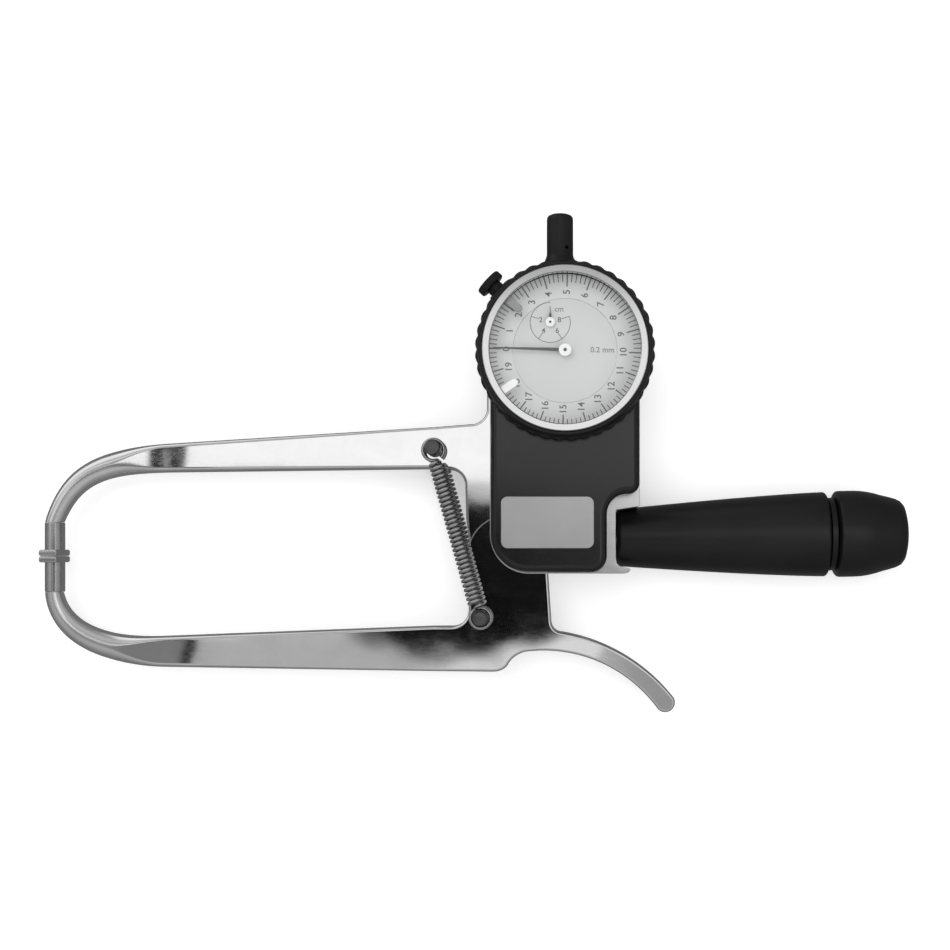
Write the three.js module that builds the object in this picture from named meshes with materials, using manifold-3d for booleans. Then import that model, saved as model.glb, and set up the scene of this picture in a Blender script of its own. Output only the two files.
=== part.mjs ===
// A dial skinfold caliper: a polished frame with a fixed upper arm, a sprung lower arm
// with a finger trigger, a turned handle and a dial gauge driven by the lower arm.
// Millimetres. The caliper lies on its back. The origin is on the pivot's axis, on the
// plane it rests on. +X runs from the jaws to the handle, +Y up to the gauge's stem cap,
// and +Z out of the dial.
import * as THREE from "three";
import { mergeVertices } from "three/addons/utils/BufferGeometryUtils.js";
import Module from "manifold-3d";

const wasm = await Module();
wasm.setup();

// Clearances
const SEAT = 0.3; // between fixed neighbours
const RUNNING = 0.12; // radial, between the pivot pin and its bush
const EYE_PLAY = 0.12; // between a spring's eye and the stud or bush that it pulls on
const ARM_PLAY = 0.6; // each side of the lower arm, between the side plates
const HUB_PLAY = 0.35; // radial, between the lower arm's hub and the frame

// Jaws
const JAW_RADIUS = 150; // from the pivot to the middle of the jaw faces
const JAW_OPENING = 80;
const FACE_WIDTH = 6;
const FACE_LENGTH = 15;
const FACE_THICKNESS = 2.1;
const BARREL_SIZE = 6.1;
const BARREL_LENGTH = 8.7;
const BARREL_CORNER = 1.6;
const SPIGOT_RADIUS = 1.7;
const SPIGOT_LENGTH = 6;

// Frame and arms
const CORE_THICKNESS = 10;
const PLATE_THICKNESS = 2;
const ARM_TIP_SIZE = 6;
const UPPER_BEND = { x: 39, y: 32.3, lean: 5.6, rise: 15.2, run: 25, width: 9.3 };
const LOWER_BEND = { x: 37, y: 31.4, lean: 1.8, rise: 13.6, run: 20.4, width: 10 };
const SHOULDER_X = -24.8;
const UPPER_BAR = { y: 35.5, width: 13.4 };
const LOWER_BAR = { y: 30.4, width: 14.6 };
const EDGE_ROUND = 1.3;
const EDGE_BEVEL = 0.6;
const UPRIGHT_LEFT = -14.2;
const FRAME_LEFT = -7.05;
const WEB_LEFT = -13.1;
const WEB_RIGHT = 13.4;
const INNER_FILLET = 5.6;
const OUTER_FILLET = 5.2;
const HEEL = { x: -5, y: -37.9, corner: 5.4 };

// Pivot
const HUB_RADIUS = 13.2;
const HUB_BORE = 6;
const BUSH_WALL = 1.6;
const PIN_END_RADIUS = 1.8; // where it steps down into the side plates

// Trigger: an arc from its root on the web, and an underside of a smaller radius
const TRIGGER = { x: 17.7, y: -25, radius: 59.4, from: 80.4, to: 38.9 };
const TRIGGER_BELLY = { x: 3.6, y: 6.4, thinner: 13.2, from: 36.6, to: 97.5 };
const TRIGGER_FILLET = 3.4;

// Drive from the lower arm to the gauge's spindle
const DRIVE_PIN_RADIUS = 1.5;
const DRIVE_PIN_DROP = 4; // degrees below level with the jaws closed
const LEVER_HALF_WIDTH = 3;
const SLOT_PLAY = 0.6;

// Body outline
const BODY_HALF_WIDTH = 23.8;
const BODY_BOTTOM = -5.1;
const BODY_CORNER = 12.1;
const COVER_TOP = 50.8;
const NOTCH = { x: 31.8, y: 19.9, outer: 5.1, inner: 6.4, step: 3.5 };
const PLATE_RIM = 0.6;
const COVER_WALL = 2;
const COVER_EDGE = 1.2;
const FRONT_COVER_DEPTH = 11.7;
const LABEL = { x: -2, y: 2.5, width: 29.6, height: 16.5, corner: 2.2, thickness: 0.5 };

// Handle
const HANDLE_END_X = 35.3;
const HANDLE_END_Y = 6;
const HANDLE_TILT = 1; // degrees
const GRIP_END_RADIUS = 9.5;
const GRIP_RADIUS = 13.9;
const GRIP_LENGTH = 69.3;
const RING_WIDTH = 2.6;
const HANDLE_SIDES = 24;
const RING_RADIUS = 12;
const CAP_RADIUS = 14.2;
const CAP_LENGTH = 23.7;
const CAP_END_RADIUS = 11.4;
const CAP_DOME = 3.6;
const GROOVE_CHAMFER = 1.6;
const TIE_ROD_RADIUS = 3;
const TIE_ROD_IN_FRAME = 7;
const HANDLE_RECESS = 10.4;

// Gauge
const GAUGE_X = 18.4;
const GAUGE_Y = 65.1;
const CASE_RADIUS = 26;
const CASE_WALL = 2.1;
const CASE_DEPTH = 10.7;
const LUG_RADIUS = 5;
const GAUGE_SCREW_HEAD = 4;
const GAUGE_SCREW_RADIUS = 2;
const BACK_THICKNESS = 1.8;
const BEZEL_WALL = 2.1; // outside the case and its clearance
const SCALLOP_COUNT = 40;
const SCALLOP_DEPTH = 0.55;
const SKIRT_HEIGHT = 5.9;
const COLLAR_HEIGHT = 3.6;
const COLLAR_WALL = 1.1;
const LIP_STEP = 1.4; // of the bezel's lip, inwards from the case's outside
const RING_STEP = 0.9; // of the silver ring, inwards from the lip
const SILVER_RING_HEIGHT = 2;
const CRYSTAL_THICKNESS = 1.2;
const DIAL_THICKNESS = 0.6;
const DIAL_CENTRE_RADIUS = 16.5;
const DIAL_ZERO = 178.3; // degrees: where the zero and the resting hand lie
const MAIN_HAND_LENGTH = 22.8;
const SMALL_HAND_LENGTH = 5;
const COUNTER_OFFSET = { x: -4.7, y: 8.9 };
const GEAR_RATIO = 5;
const COUNTER_TURN = 0.8; // of a turn of the small hand over the whole opening
const PINION_TEETH = 10;
const TOOTH_HEIGHT = 0.4;
const GEAR_BACKLASH = 0.12;
const SPINDLE_X = 16.8;
const SPINDLE_RADIUS = 2;
const SPINDLE_HEIGHT = 3; // of its axis over the case's back edge
const STEM_RADIUS = 4;
const STEM_LENGTH = 17;
const STEM_CAP_RADIUS = 4.25;
const STEM_CAP_LENGTH = 19;
const STEM_CAP_FLARE = 0.75;
const MARKERS = [
  { name: "tolerance_marker_low", angle: 213.8 },
  { name: "tolerance_marker_high", angle: 139.4 },
];
const MARKER_WIDTH = 2.5;
const MARKER_REACH = 5.6;
const MARKER_THICKNESS = 0.5;
const CLAMP_ANGLE = 136.9;
const KNOB_RADIUS = 4.5;
const KNOB_THICKNESS = 2.6;

// Springs
const UPPER_STUD = { x: -24.5, y: 35.2 };
const LOWER_STUD = { x: -9, y: -20.1 };
const STUD_HEAD_RADIUS = 2.7;
const UPPER_GROOVE_RADIUS = 2.1;
const LOWER_GROOVE_RADIUS = 1.5;
const STUD_SHANK_RADIUS = 1.6;
const STUD_BASE_RADIUS = 2.6;
const STUD_HEAD_HEIGHT = 2.4;
const WIRE_RADIUS = 0.45;
const COIL_RADIUS = 2.35;
const UPPER_EYE_RADIUS = 3.45;
const LOWER_EYE_RADIUS = 3.3;
const SPRING_HEIGHT = 4.3; // of a spring's middle over the frame's face
const COIL_TURNS = 31.5;
const COIL_STEPS = 8;
const WIRE_SIDES = 5;
const EYE_STEPS = 12;
const GROOVE_HALF = WIRE_RADIUS + 0.35; // half the width of a stud's groove
const BUSH_PLAY = 0.55; // the lower stud's play in the spring's bush

// Sides of the round pieces, by how large they are
const LARGE_SIDES = 30;
const MEDIUM_SIDES = 14;
const SMALL_SIDES = 12;
const CURVE_STEPS = 4; // to a bent line of an outline, and twice as many to an arc

// Screws
const LEFT_SCREW = { x: -0.6, y: 33.5 };
const RIGHT_SCREW = { x: 37, y: 31 };
const LOWER_SCREW = { x: 27, y: -0.2 };
const TOP_SCREW_Y = 83;
const SCREW_RADIUS = 1.5;
const SCREW_HEAD_RADIUS = 2.8;
const SCREW_HEAD_HEIGHT = 1.8;
const SCREW_RECESS = 0.5;
const BOSS_WALL = 1.6;

// Heights worked out from the sizes above
const midZ = CAP_RADIUS;
const coreBack = midZ - CORE_THICKNESS / 2;
const coreFront = midZ + CORE_THICKNESS / 2;
const rearPlateTop = coreBack - SEAT;
const rearPlateBottom = rearPlateTop - PLATE_THICKNESS;
const frontPlateBottom = coreFront + SEAT;
const frontPlateTop = frontPlateBottom + PLATE_THICKNESS;
const rearCoverTop = rearPlateBottom - SEAT;
const frontCoverBottom = frontPlateTop + SEAT;
const frontCoverTop = frontCoverBottom + FRONT_COVER_DEPTH;
const armBack = rearPlateTop + ARM_PLAY;
const armFront = frontPlateBottom - ARM_PLAY;
const armThickness = armFront - armBack;
const caseBottom = frontCoverBottom + BACK_THICKNESS + SEAT;
const caseTop = caseBottom + CASE_DEPTH;
const spindleZ = caseBottom + SPINDLE_HEIGHT;
const skirtBottom = frontCoverTop + 0.4;
const skirtTop = skirtBottom + SKIRT_HEIGHT;
const collarTop = skirtTop + COLLAR_HEIGHT;
const crystalBottom = skirtTop + 0.1;
const markerBottom = crystalBottom + CRYSTAL_THICKNESS + SEAT;
const silverRingBottom = markerBottom + MARKER_THICKNESS + SEAT;
const lipBottom = caseTop + SEAT * 2;
const dialBottom = lipBottom;
const dialTop = dialBottom + DIAL_THICKNESS;
const springZ = coreFront + SPRING_HEIGHT;

// The mechanism, worked out from the same sizes
const degrees = Math.PI / 180;
const openAngle = 2 * Math.asin(JAW_OPENING / 2 / JAW_RADIUS);
const driveRadius = SPINDLE_X / Math.cos(DRIVE_PIN_DROP * degrees);
const driveStart = -DRIVE_PIN_DROP * degrees;
const driveEnd = driveStart + openAngle;
const drivePinY = driveRadius * Math.sin(driveStart);
const spindleTravel = driveRadius * (Math.sin(driveEnd) - Math.sin(driveStart));
const rackPitchRadius = spindleTravel / (COUNTER_TURN * 2 * Math.PI);
const counterX = GAUGE_X + COUNTER_OFFSET.x;
const gearDistance = Math.hypot(COUNTER_OFFSET.x, COUNTER_OFFSET.y);
const centrePinionRadius = gearDistance / (GEAR_RATIO + 1);
const wheelRadius = gearDistance - centrePinionRadius;

// Finishes, as the photograph shows them
function finish(color, roughness, metalness) {
  return new THREE.MeshStandardMaterial({ color, roughness, metalness });
}
const POLISHED = finish(0xd9dadb, 0.12, 1);
const SATIN_METAL = finish(0xa6a7a8, 0.4, 1);
const STEEL = finish(0x8e8f90, 0.35, 1);
const DARK_STEEL = finish(0x3a3a3b, 0.45, 1);
const BRASS = finish(0xb0924a, 0.35, 1);
const BLACK_MOULDING = finish(0x2c2c2d, 0.55, 0);
const BLACK_HANDLE = finish(0x191919, 0.45, 0);
const DIAL_FACE = finish(0xcfcfce, 0.7, 0);
const WHITE = finish(0xf0f0ee, 0.5, 0);
const GREY = finish(0x8a8a8a, 0.5, 0);
const CLEAR = new THREE.MeshStandardMaterial({
  color: 0xffffff,
  roughness: 0.05,
  transparent: true,
  opacity: 0.2,
});

// A closed geometry as a solid for joining and cutting
function solid(geometry) {
  const bare = geometry.index ? geometry.toNonIndexed() : geometry.clone();
  for (const name of Object.keys(bare.attributes)) {
    if (name !== "position") bare.deleteAttribute(name);
  }
  const merged = mergeVertices(bare, 1e-4);
  const corners = merged.index.array;
  const faces = [];
  for (let i = 0; i < corners.length; i += 3) {
    const [a, b, c] = corners.slice(i, i + 3);
    if (a !== b && b !== c && c !== a) faces.push(a, b, c);
  }
  const mesh = new wasm.Mesh({
    numProp: 3,
    vertProperties: merged.attributes.position.array,
    triVerts: new Uint32Array(faces),
  });
  return new wasm.Manifold(mesh);
}

function geometryOf(made) {
  const mesh = made.getMesh();
  const geometry = new THREE.BufferGeometry();
  const positions = new THREE.BufferAttribute(new Float32Array(mesh.vertProperties), 3);
  geometry.setAttribute("position", positions);
  geometry.setIndex(new THREE.BufferAttribute(new Uint32Array(mesh.triVerts), 1));
  geometry.computeVertexNormals();
  return geometry;
}

function join(...geometries) {
  return geometryOf(geometries.map(solid).reduce((whole, next) => whole.add(next)));
}

function cut(geometry, ...tools) {
  const start = solid(geometry);
  return geometryOf(tools.map(solid).reduce((left, tool) => left.subtract(tool), start));
}

// A flat outline raised from one height to another, with an edge bevel if asked
function raised(shape, bottom, top, bevel = 0) {
  const geometry = new THREE.ExtrudeGeometry(shape, {
    depth: top - bottom - 2 * bevel,
    bevelEnabled: bevel > 0,
    bevelThickness: bevel,
    bevelSize: bevel,
    bevelOffset: -bevel,
    bevelSegments: 1,
    curveSegments: CURVE_STEPS,
  });
  return geometry.translate(0, 0, bottom + bevel);
}

// A solid turned about the Z axis from [radius, height] points. A solid without a bore
// has its first and last points on the axis; a ring's outline closes on itself.
function turned(points, segments = MEDIUM_SIDES) {
  const area = points.reduce((sum, [r, z], i) => {
    const [nextR, nextZ] = points[(i + 1) % points.length];
    return sum + r * nextZ - nextR * z;
  }, 0);
  const upwards = area > 0 ? points : [...points].reverse();
  const outline = upwards[0][0] === 0 ? upwards : [...upwards, upwards[0]];
  const profile = outline.map(([r, z]) => new THREE.Vector2(r, z));
  return new THREE.LatheGeometry(profile, segments).rotateX(Math.PI / 2);
}

function cylinder(radius, bottom, top, segments = MEDIUM_SIDES) {
  return turned([[0, bottom], [radius, bottom], [radius, top], [0, top]], segments);
}

function tube(inner, outer, bottom, top, segments = MEDIUM_SIDES) {
  return turned([[inner, bottom], [outer, bottom], [outer, top], [inner, top]], segments);
}

function box(x0, x1, y0, y1, z0, z1) {
  const geometry = new THREE.BoxGeometry(x1 - x0, y1 - y0, z1 - z0);
  return geometry.translate((x0 + x1) / 2, (y0 + y1) / 2, (z0 + z1) / 2);
}

function roundedBox(width, height, corner) {
  const shape = new THREE.Shape();
  const x = width / 2;
  const y = height / 2;
  shape.moveTo(-x + corner, -y);
  shape.absarc(x - corner, -y + corner, corner, -Math.PI / 2, 0, false);
  shape.absarc(x - corner, y - corner, corner, 0, Math.PI / 2, false);
  shape.absarc(-x + corner, y - corner, corner, Math.PI / 2, Math.PI, false);
  shape.absarc(-x + corner, -y + corner, corner, Math.PI, Math.PI * 1.5, false);
  return shape;
}

function point(x, y) {
  return new THREE.Vector2(x, y);
}

function polar(radius, angle) {
  return point(radius * Math.cos(angle), radius * Math.sin(angle));
}

// The scene graph
const caliper = new THREE.Group();

function place(name, geometry, material, x = 0, y = 0, z = 0, parent = caliper) {
  const mesh = new THREE.Mesh(geometryOf(solid(geometry)), material);
  mesh.name = name;
  mesh.position.set(x, y, z);
  parent.add(mesh);
  return mesh;
}

// Arms: a tapering bar swept along a bend and a straight, round at the tip and flat at the root
const SECTION_CORNER_STEPS = 3;

function section(halfWidth, halfThickness, round) {
  const corner = Math.min(round, halfWidth, halfThickness);
  const points = [];
  for (let quarter = 0; quarter < 4; quarter += 1) {
    const cx = (quarter === 0 || quarter === 3 ? 1 : -1) * (halfWidth - corner);
    const cy = (quarter < 2 ? 1 : -1) * (halfThickness - corner);
    for (let i = 0; i < SECTION_CORNER_STEPS; i += 1) {
      const share = i / (SECTION_CORNER_STEPS - 1);
      const inset = 0.08 * (1 - share * 2); // keeps neighbouring corners apart on a round section
      const angle = (quarter + share) * (Math.PI / 2) + inset;
      points.push(point(cx + corner * Math.cos(angle), cy + corner * Math.sin(angle)));
    }
  }
  return points;
}

function sweptBar(stations) {
  const rings = stations.map(({ at, along, width, thickness, round }) => {
    const across = new THREE.Vector3(-along.y, along.x, 0).normalize();
    return section(width / 2, thickness / 2, round).map((p) =>
      new THREE.Vector3(at.x, at.y, midZ)
        .addScaledVector(across, p.x)
        .add(new THREE.Vector3(0, 0, p.y)),
    );
  });
  return ringsToGeometry(rings);
}

// Joins rings of points into one closed skin with a fan at each end
function ringsToGeometry(rings) {
  const sides = rings[0].length;
  const vertices = rings.flat();
  const faces = [];
  for (let r = 0; r + 1 < rings.length; r += 1) {
    for (let s = 0; s < sides; s += 1) {
      const a = r * sides + s;
      const b = r * sides + ((s + 1) % sides);
      faces.push([a, b, b + sides], [a, b + sides, a + sides]);
    }
  }
  const last = (rings.length - 1) * sides;
  for (let s = 1; s + 1 < sides; s += 1) {
    faces.push([0, s + 1, s], [last, last + s, last + s + 1]);
  }
  const geometry = new THREE.BufferGeometry();
  geometry.setFromPoints(vertices);
  geometry.setIndex(faces.flat());
  geometry.computeVertexNormals();
  return geometry;
}

// side is 1 for the upper arm and -1 for the lower one
function armStations(bend, bar, side, rootX, rootThickness) {
  const tipY = (FACE_THICKNESS + BARREL_LENGTH + SEAT) * side;
  const tip = point(-JAW_RADIUS, tipY);
  const end = point(-JAW_RADIUS + bend.x, bend.y * side);
  const root = point(rootX, bar.y * side);
  const barDirection = root.clone().sub(end).normalize();
  const curve = new THREE.CubicBezierCurve(
    tip,
    point(tip.x + bend.lean, tip.y + bend.rise * side),
    end.clone().addScaledVector(barDirection, -bend.run),
    end,
  );
  const steps = 11;
  const stations = [];
  for (let i = 0; i <= steps; i += 1) {
    const share = i / steps;
    stations.push({
      at: curve.getPoint(share),
      along: i === 0 ? point(0, side) : curve.getTangent(share),
      width: THREE.MathUtils.lerp(ARM_TIP_SIZE, bend.width, share),
      thickness: THREE.MathUtils.lerp(ARM_TIP_SIZE, ARM_TIP_SIZE + 2, share),
      round: THREE.MathUtils.lerp(ARM_TIP_SIZE / 2, EDGE_ROUND, share ** 2),
    });
  }
  const barSteps = 4;
  for (let i = 1; i <= barSteps; i += 1) {
    const share = i / barSteps;
    stations.push({
      at: end.clone().lerp(root, share),
      along: barDirection,
      width: THREE.MathUtils.lerp(bend.width, bar.width, share),
      thickness: THREE.MathUtils.lerp(ARM_TIP_SIZE + 2, rootThickness, share),
      round: EDGE_ROUND,
    });
  }
  return stations;
}

function spigot(side) {
  const length = SPIGOT_LENGTH + SEAT + 1;
  const rod = new THREE.CylinderGeometry(SPIGOT_RADIUS, SPIGOT_RADIUS, length, MEDIUM_SIDES);
  const rootY = FACE_THICKNESS + BARREL_LENGTH + SEAT + 1;
  return rod.translate(-JAW_RADIUS, (rootY - length / 2) * side, midZ);
}

// Body outlines, all made of the same lines with a margin outwards
const bodyLeft = GAUGE_X - BODY_HALF_WIDTH;
const bodyRight = GAUGE_X + BODY_HALF_WIDTH;

function coverOutline(margin, roundTop) {
  const shape = new THREE.Shape();
  const left = bodyLeft - margin;
  const right = bodyRight + margin;
  const bottom = BODY_BOTTOM - margin;
  const corner = BODY_CORNER + margin;
  const outer = NOTCH.outer + margin;
  const inner = NOTCH.inner - margin;
  const step = NOTCH.step + margin;
  shape.moveTo(left + corner, bottom);
  shape.absarc(NOTCH.x - NOTCH.outer, bottom + outer, outer, -Math.PI / 2, 0, false);
  shape.absarc(NOTCH.x + NOTCH.inner, NOTCH.y - NOTCH.inner, inner, Math.PI, Math.PI / 2, true);
  shape.absarc(right - step, NOTCH.y + NOTCH.step, step, -Math.PI / 2, 0, false);
  if (roundTop) {
    shape.absarc(GAUGE_X, GAUGE_Y, BODY_HALF_WIDTH + margin, 0, Math.PI / 2, false);
    shape.absarc(GAUGE_X, GAUGE_Y, BODY_HALF_WIDTH + margin, Math.PI / 2, Math.PI, false);
  } else {
    shape.lineTo(right, COVER_TOP + margin);
    shape.lineTo(left, COVER_TOP + margin);
  }
  shape.absarc(left + corner, bottom + corner, corner, Math.PI, Math.PI * 1.5, false);
  return shape;
}

// The side plates and the frame's body: square at the handle, with a recess for its end
function plateOutline(margin) {
  const shape = new THREE.Shape();
  const left = bodyLeft - margin;
  const right = bodyRight + margin;
  const bottom = BODY_BOTTOM - margin;
  const corner = BODY_CORNER + margin;
  const recessX = HANDLE_END_X - SEAT;
  const recessHigh = HANDLE_END_Y + HANDLE_RECESS;
  shape.moveTo(left + corner, bottom);
  shape.lineTo(recessX, bottom);
  shape.lineTo(recessX, recessHigh);
  shape.lineTo(right, recessHigh);
  shape.absarc(GAUGE_X, GAUGE_Y, BODY_HALF_WIDTH + margin, 0, Math.PI / 2, false);
  shape.absarc(GAUGE_X, GAUGE_Y, BODY_HALF_WIDTH + margin, Math.PI / 2, Math.PI, false);
  shape.absarc(left + corner, bottom + corner, corner, Math.PI, Math.PI * 1.5, false);
  return shape;
}

// Frame
const screwHole = SCREW_RADIUS + SEAT;
const drillTop = frontCoverTop + 1;
const upperStudBore = cylinder(STUD_SHANK_RADIUS + SEAT, 0, drillTop, MEDIUM_SIDES).translate(
  UPPER_STUD.x,
  UPPER_STUD.y,
  0,
);
const coverScrews = [LEFT_SCREW, RIGHT_SCREW, LOWER_SCREW];
const screwHoles = coverScrews.map(({ x, y }) =>
  cylinder(screwHole, 0, drillTop, SMALL_SIDES).translate(x, y, 0),
);
const topScrewTip = coreFront - 3;
const topScrewHole = cylinder(screwHole, 0, topScrewTip + 1, SMALL_SIDES).translate(
  GAUGE_X,
  TOP_SCREW_Y,
  0,
);
const pocketRadius = Math.hypot(driveRadius + DRIVE_PIN_RADIUS + 1, LEVER_HALF_WIDTH) + SEAT;
const leverSpread = Math.atan2(LEVER_HALF_WIDTH + 1, driveRadius) + 6 * degrees;

function leverPocket() {
  const shape = new THREE.Shape();
  shape.moveTo(0, 0);
  const low = polar(pocketRadius, driveStart - leverSpread - 0.25);
  shape.lineTo(low.x, low.y);
  shape.absarc(0, 0, pocketRadius, driveStart - leverSpread - 0.25, driveEnd + leverSpread, false);
  shape.lineTo(0, 0);
  return raised(shape, 0, drillTop);
}

function shoulder() {
  const shape = new THREE.Shape();
  const low = UPPER_BAR.y - UPPER_BAR.width / 2;
  const high = UPPER_BAR.y + UPPER_BAR.width / 2;
  const back = bodyLeft + 6;
  shape.moveTo(SHOULDER_X, low);
  shape.lineTo(UPRIGHT_LEFT - INNER_FILLET, low - 0.3);
  shape.absarc(
    UPRIGHT_LEFT - INNER_FILLET,
    low - 0.3 - INNER_FILLET,
    INNER_FILLET,
    Math.PI / 2,
    0,
    true,
  );
  shape.lineTo(UPRIGHT_LEFT + 0.3, HUB_RADIUS - 1);
  shape.lineTo(UPRIGHT_LEFT + 1.7, 0);
  shape.lineTo(back, 0);
  shape.lineTo(back, GAUGE_Y);
  shape.lineTo(FRAME_LEFT, GAUGE_Y);
  shape.lineTo(FRAME_LEFT, high + 1 + OUTER_FILLET);
  shape.absarc(
    FRAME_LEFT - OUTER_FILLET,
    high + 1 + OUTER_FILLET,
    OUTER_FILLET,
    0,
    -Math.PI / 2,
    true,
  );
  shape.lineTo(SHOULDER_X, high);
  return raised(shape, coreBack, coreFront, EDGE_BEVEL);
}

const lugBottom = coreFront - 3.5;
const lugSeat = lugBottom - SEAT;

const handleAxis = new THREE.Group();
handleAxis.position.set(HANDLE_END_X, HANDLE_END_Y, midZ);
handleAxis.rotation.z = HANDLE_TILT * degrees;
caliper.add(handleAxis);

// A solid turned about the handle's axis, whose own zero is the grip's inner end
function alongHandle(geometry) {
  return geometry.rotateY(Math.PI / 2);
}

const tieRodHole = alongHandle(
  cylinder(TIE_ROD_RADIUS + SEAT, -TIE_ROD_IN_FRAME - SEAT, GRIP_LENGTH, MEDIUM_SIDES),
)
  .rotateZ(HANDLE_TILT * degrees)
  .translate(HANDLE_END_X, HANDLE_END_Y, midZ);

const frameBody = join(
  sweptBar(armStations(UPPER_BEND, UPPER_BAR, 1, SHOULDER_X + 3, CORE_THICKNESS)),
  spigot(1),
  shoulder(),
  raised(plateOutline(0.3), coreBack, coreFront, EDGE_BEVEL),
);
place(
  "frame",
  cut(
    frameBody,
    cylinder(HUB_RADIUS + HUB_PLAY, 0, drillTop, LARGE_SIDES),
    leverPocket(),
    upperStudBore,
    ...screwHoles,
    topScrewHole,
    tieRodHole,
    cylinder(LUG_RADIUS + SEAT, lugSeat, drillTop, MEDIUM_SIDES).translate(GAUGE_X, GAUGE_Y, 0),
    cylinder(GAUGE_SCREW_RADIUS + SEAT, 0, drillTop, MEDIUM_SIDES).translate(GAUGE_X, GAUGE_Y, 0),
    cylinder(GAUGE_SCREW_HEAD + SEAT, 0, coreBack + 3.4, MEDIUM_SIDES).translate(GAUGE_X, GAUGE_Y, 0),
  ),
  POLISHED,
);

// Side plates, which carry the pivot pin
function driveSlot() {
  const shape = new THREE.Shape();
  const half = DRIVE_PIN_RADIUS + SLOT_PLAY;
  const from = driveStart - 0.03;
  const to = driveEnd + 0.03;
  const start = polar(driveRadius, from);
  const end = polar(driveRadius, to);
  shape.absarc(0, 0, driveRadius + half, from, to, false);
  shape.absarc(end.x, end.y, half, to, to + Math.PI, false);
  shape.absarc(0, 0, driveRadius - half, to, from, true);
  shape.absarc(start.x, start.y, half, from + Math.PI, from + 2 * Math.PI, false);
  return raised(shape, 0, drillTop);
}

const BUSH_INNER = HUB_BORE - SEAT - BUSH_WALL;
const pinRadius = BUSH_INNER - RUNNING;
place(
  "front_side_plate",
  cut(
    raised(plateOutline(PLATE_RIM), frontPlateBottom, frontPlateTop),
    cylinder(PIN_END_RADIUS + SEAT, 0, drillTop),
    driveSlot(),
    ...screwHoles,
    cylinder(LUG_RADIUS + SEAT, 0, drillTop, MEDIUM_SIDES).translate(GAUGE_X, GAUGE_Y, 0),
  ),
  SATIN_METAL,
);
place(
  "rear_side_plate",
  cut(
    raised(plateOutline(PLATE_RIM), rearPlateBottom, rearPlateTop),
    cylinder(PIN_END_RADIUS + SEAT, 0, drillTop),
    ...screwHoles,
    topScrewHole,
  ),
  SATIN_METAL,
);
place(
  "pivot_pin",
  turned(
    [
      [0, rearPlateBottom],
      [PIN_END_RADIUS, rearPlateBottom],
      [PIN_END_RADIUS, coreBack],
      [pinRadius, coreBack],
      [pinRadius, coreFront],
      [PIN_END_RADIUS, coreFront],
      [PIN_END_RADIUS, frontPlateTop],
      [0, frontPlateTop],
    ],
    MEDIUM_SIDES,
  ),
  STEEL,
);
place(
  "pivot_bush",
  tube(BUSH_INNER, HUB_BORE - SEAT, armBack - 0.2, armFront + 0.2, MEDIUM_SIDES),
  BRASS,
);

// Covers
const bossRadius = SCREW_RADIUS + SEAT + BOSS_WALL;
const screwTop = frontCoverTop - COVER_WALL - 0.6;

function bosses(bottom, top) {
  return coverScrews.map(({ x, y }) => cylinder(bossRadius, bottom, top, SMALL_SIDES).translate(x, y, 0));
}

function blindHoles(bottom, top) {
  return coverScrews.map(({ x, y }) => cylinder(screwHole, bottom, top, SMALL_SIDES).translate(x, y, 0));
}

const bezelRadius = CASE_RADIUS + SEAT + BEZEL_WALL;
const lipRadius = CASE_RADIUS - LIP_STEP;
const ringInnerRadius = lipRadius - RING_STEP;
const gaugeRecess = cylinder(CASE_RADIUS + SEAT * 2, 0, drillTop, LARGE_SIDES).translate(
  GAUGE_X,
  GAUGE_Y,
  0,
);
const frontShell = cut(
  raised(coverOutline(0, false), frontCoverBottom, frontCoverTop, COVER_EDGE),
  raised(coverOutline(-COVER_WALL, false), 0, frontCoverTop - COVER_WALL),
);
place(
  "front_cover",
  cut(
    join(frontShell, ...bosses(frontCoverBottom, frontCoverTop - COVER_WALL + 0.5)),
    ...blindHoles(0, screwTop + SEAT),
    gaugeRecess,
  ),
  BLACK_MOULDING,
);

const rearShell = cut(
  raised(coverOutline(0, true), 0, rearCoverTop, COVER_EDGE),
  raised(coverOutline(-COVER_WALL, true), COVER_WALL + 0.6, drillTop),
);
const screwPlaces = [...coverScrews, { x: GAUGE_X, y: TOP_SCREW_Y }];
const headTop = SCREW_RECESS + SCREW_HEAD_HEIGHT;
place(
  "rear_cover",
  cut(
    join(
      rearShell,
      ...screwPlaces.map(({ x, y }) =>
        cylinder(SCREW_HEAD_RADIUS + BOSS_WALL, 1, rearCoverTop, SMALL_SIDES).translate(x, y, 0),
      ),
    ),
    ...screwPlaces.flatMap(({ x, y }) => [
      cylinder(screwHole, -1, drillTop, SMALL_SIDES).translate(x, y, 0),
      cylinder(SCREW_HEAD_RADIUS + SEAT, -1, headTop + SEAT, SMALL_SIDES).translate(x, y, 0),
    ]),
  ),
  BLACK_MOULDING,
);

function coverScrew(tip) {
  return turned(
    [
      [0, SCREW_RECESS],
      [SCREW_HEAD_RADIUS, SCREW_RECESS],
      [SCREW_HEAD_RADIUS, headTop],
      [SCREW_RADIUS, headTop],
      [SCREW_RADIUS, tip],
      [0, tip],
    ],
    MEDIUM_SIDES,
  );
}

coverScrews.forEach(({ x, y }, i) => {
  place("cover_screw_" + (i + 1), coverScrew(screwTop), DARK_STEEL, x, y, 0);
});
place("cover_screw_top", coverScrew(topScrewTip), DARK_STEEL, GAUGE_X, TOP_SCREW_Y, 0);

const labelBottom = frontCoverTop + 0.1;
place(
  "label_plate",
  raised(
    roundedBox(LABEL.width, LABEL.height, LABEL.corner),
    labelBottom,
    labelBottom + LABEL.thickness,
  ),
  SATIN_METAL,
  LABEL.x + LABEL.width / 2,
  LABEL.y + LABEL.height / 2,
);

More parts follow.
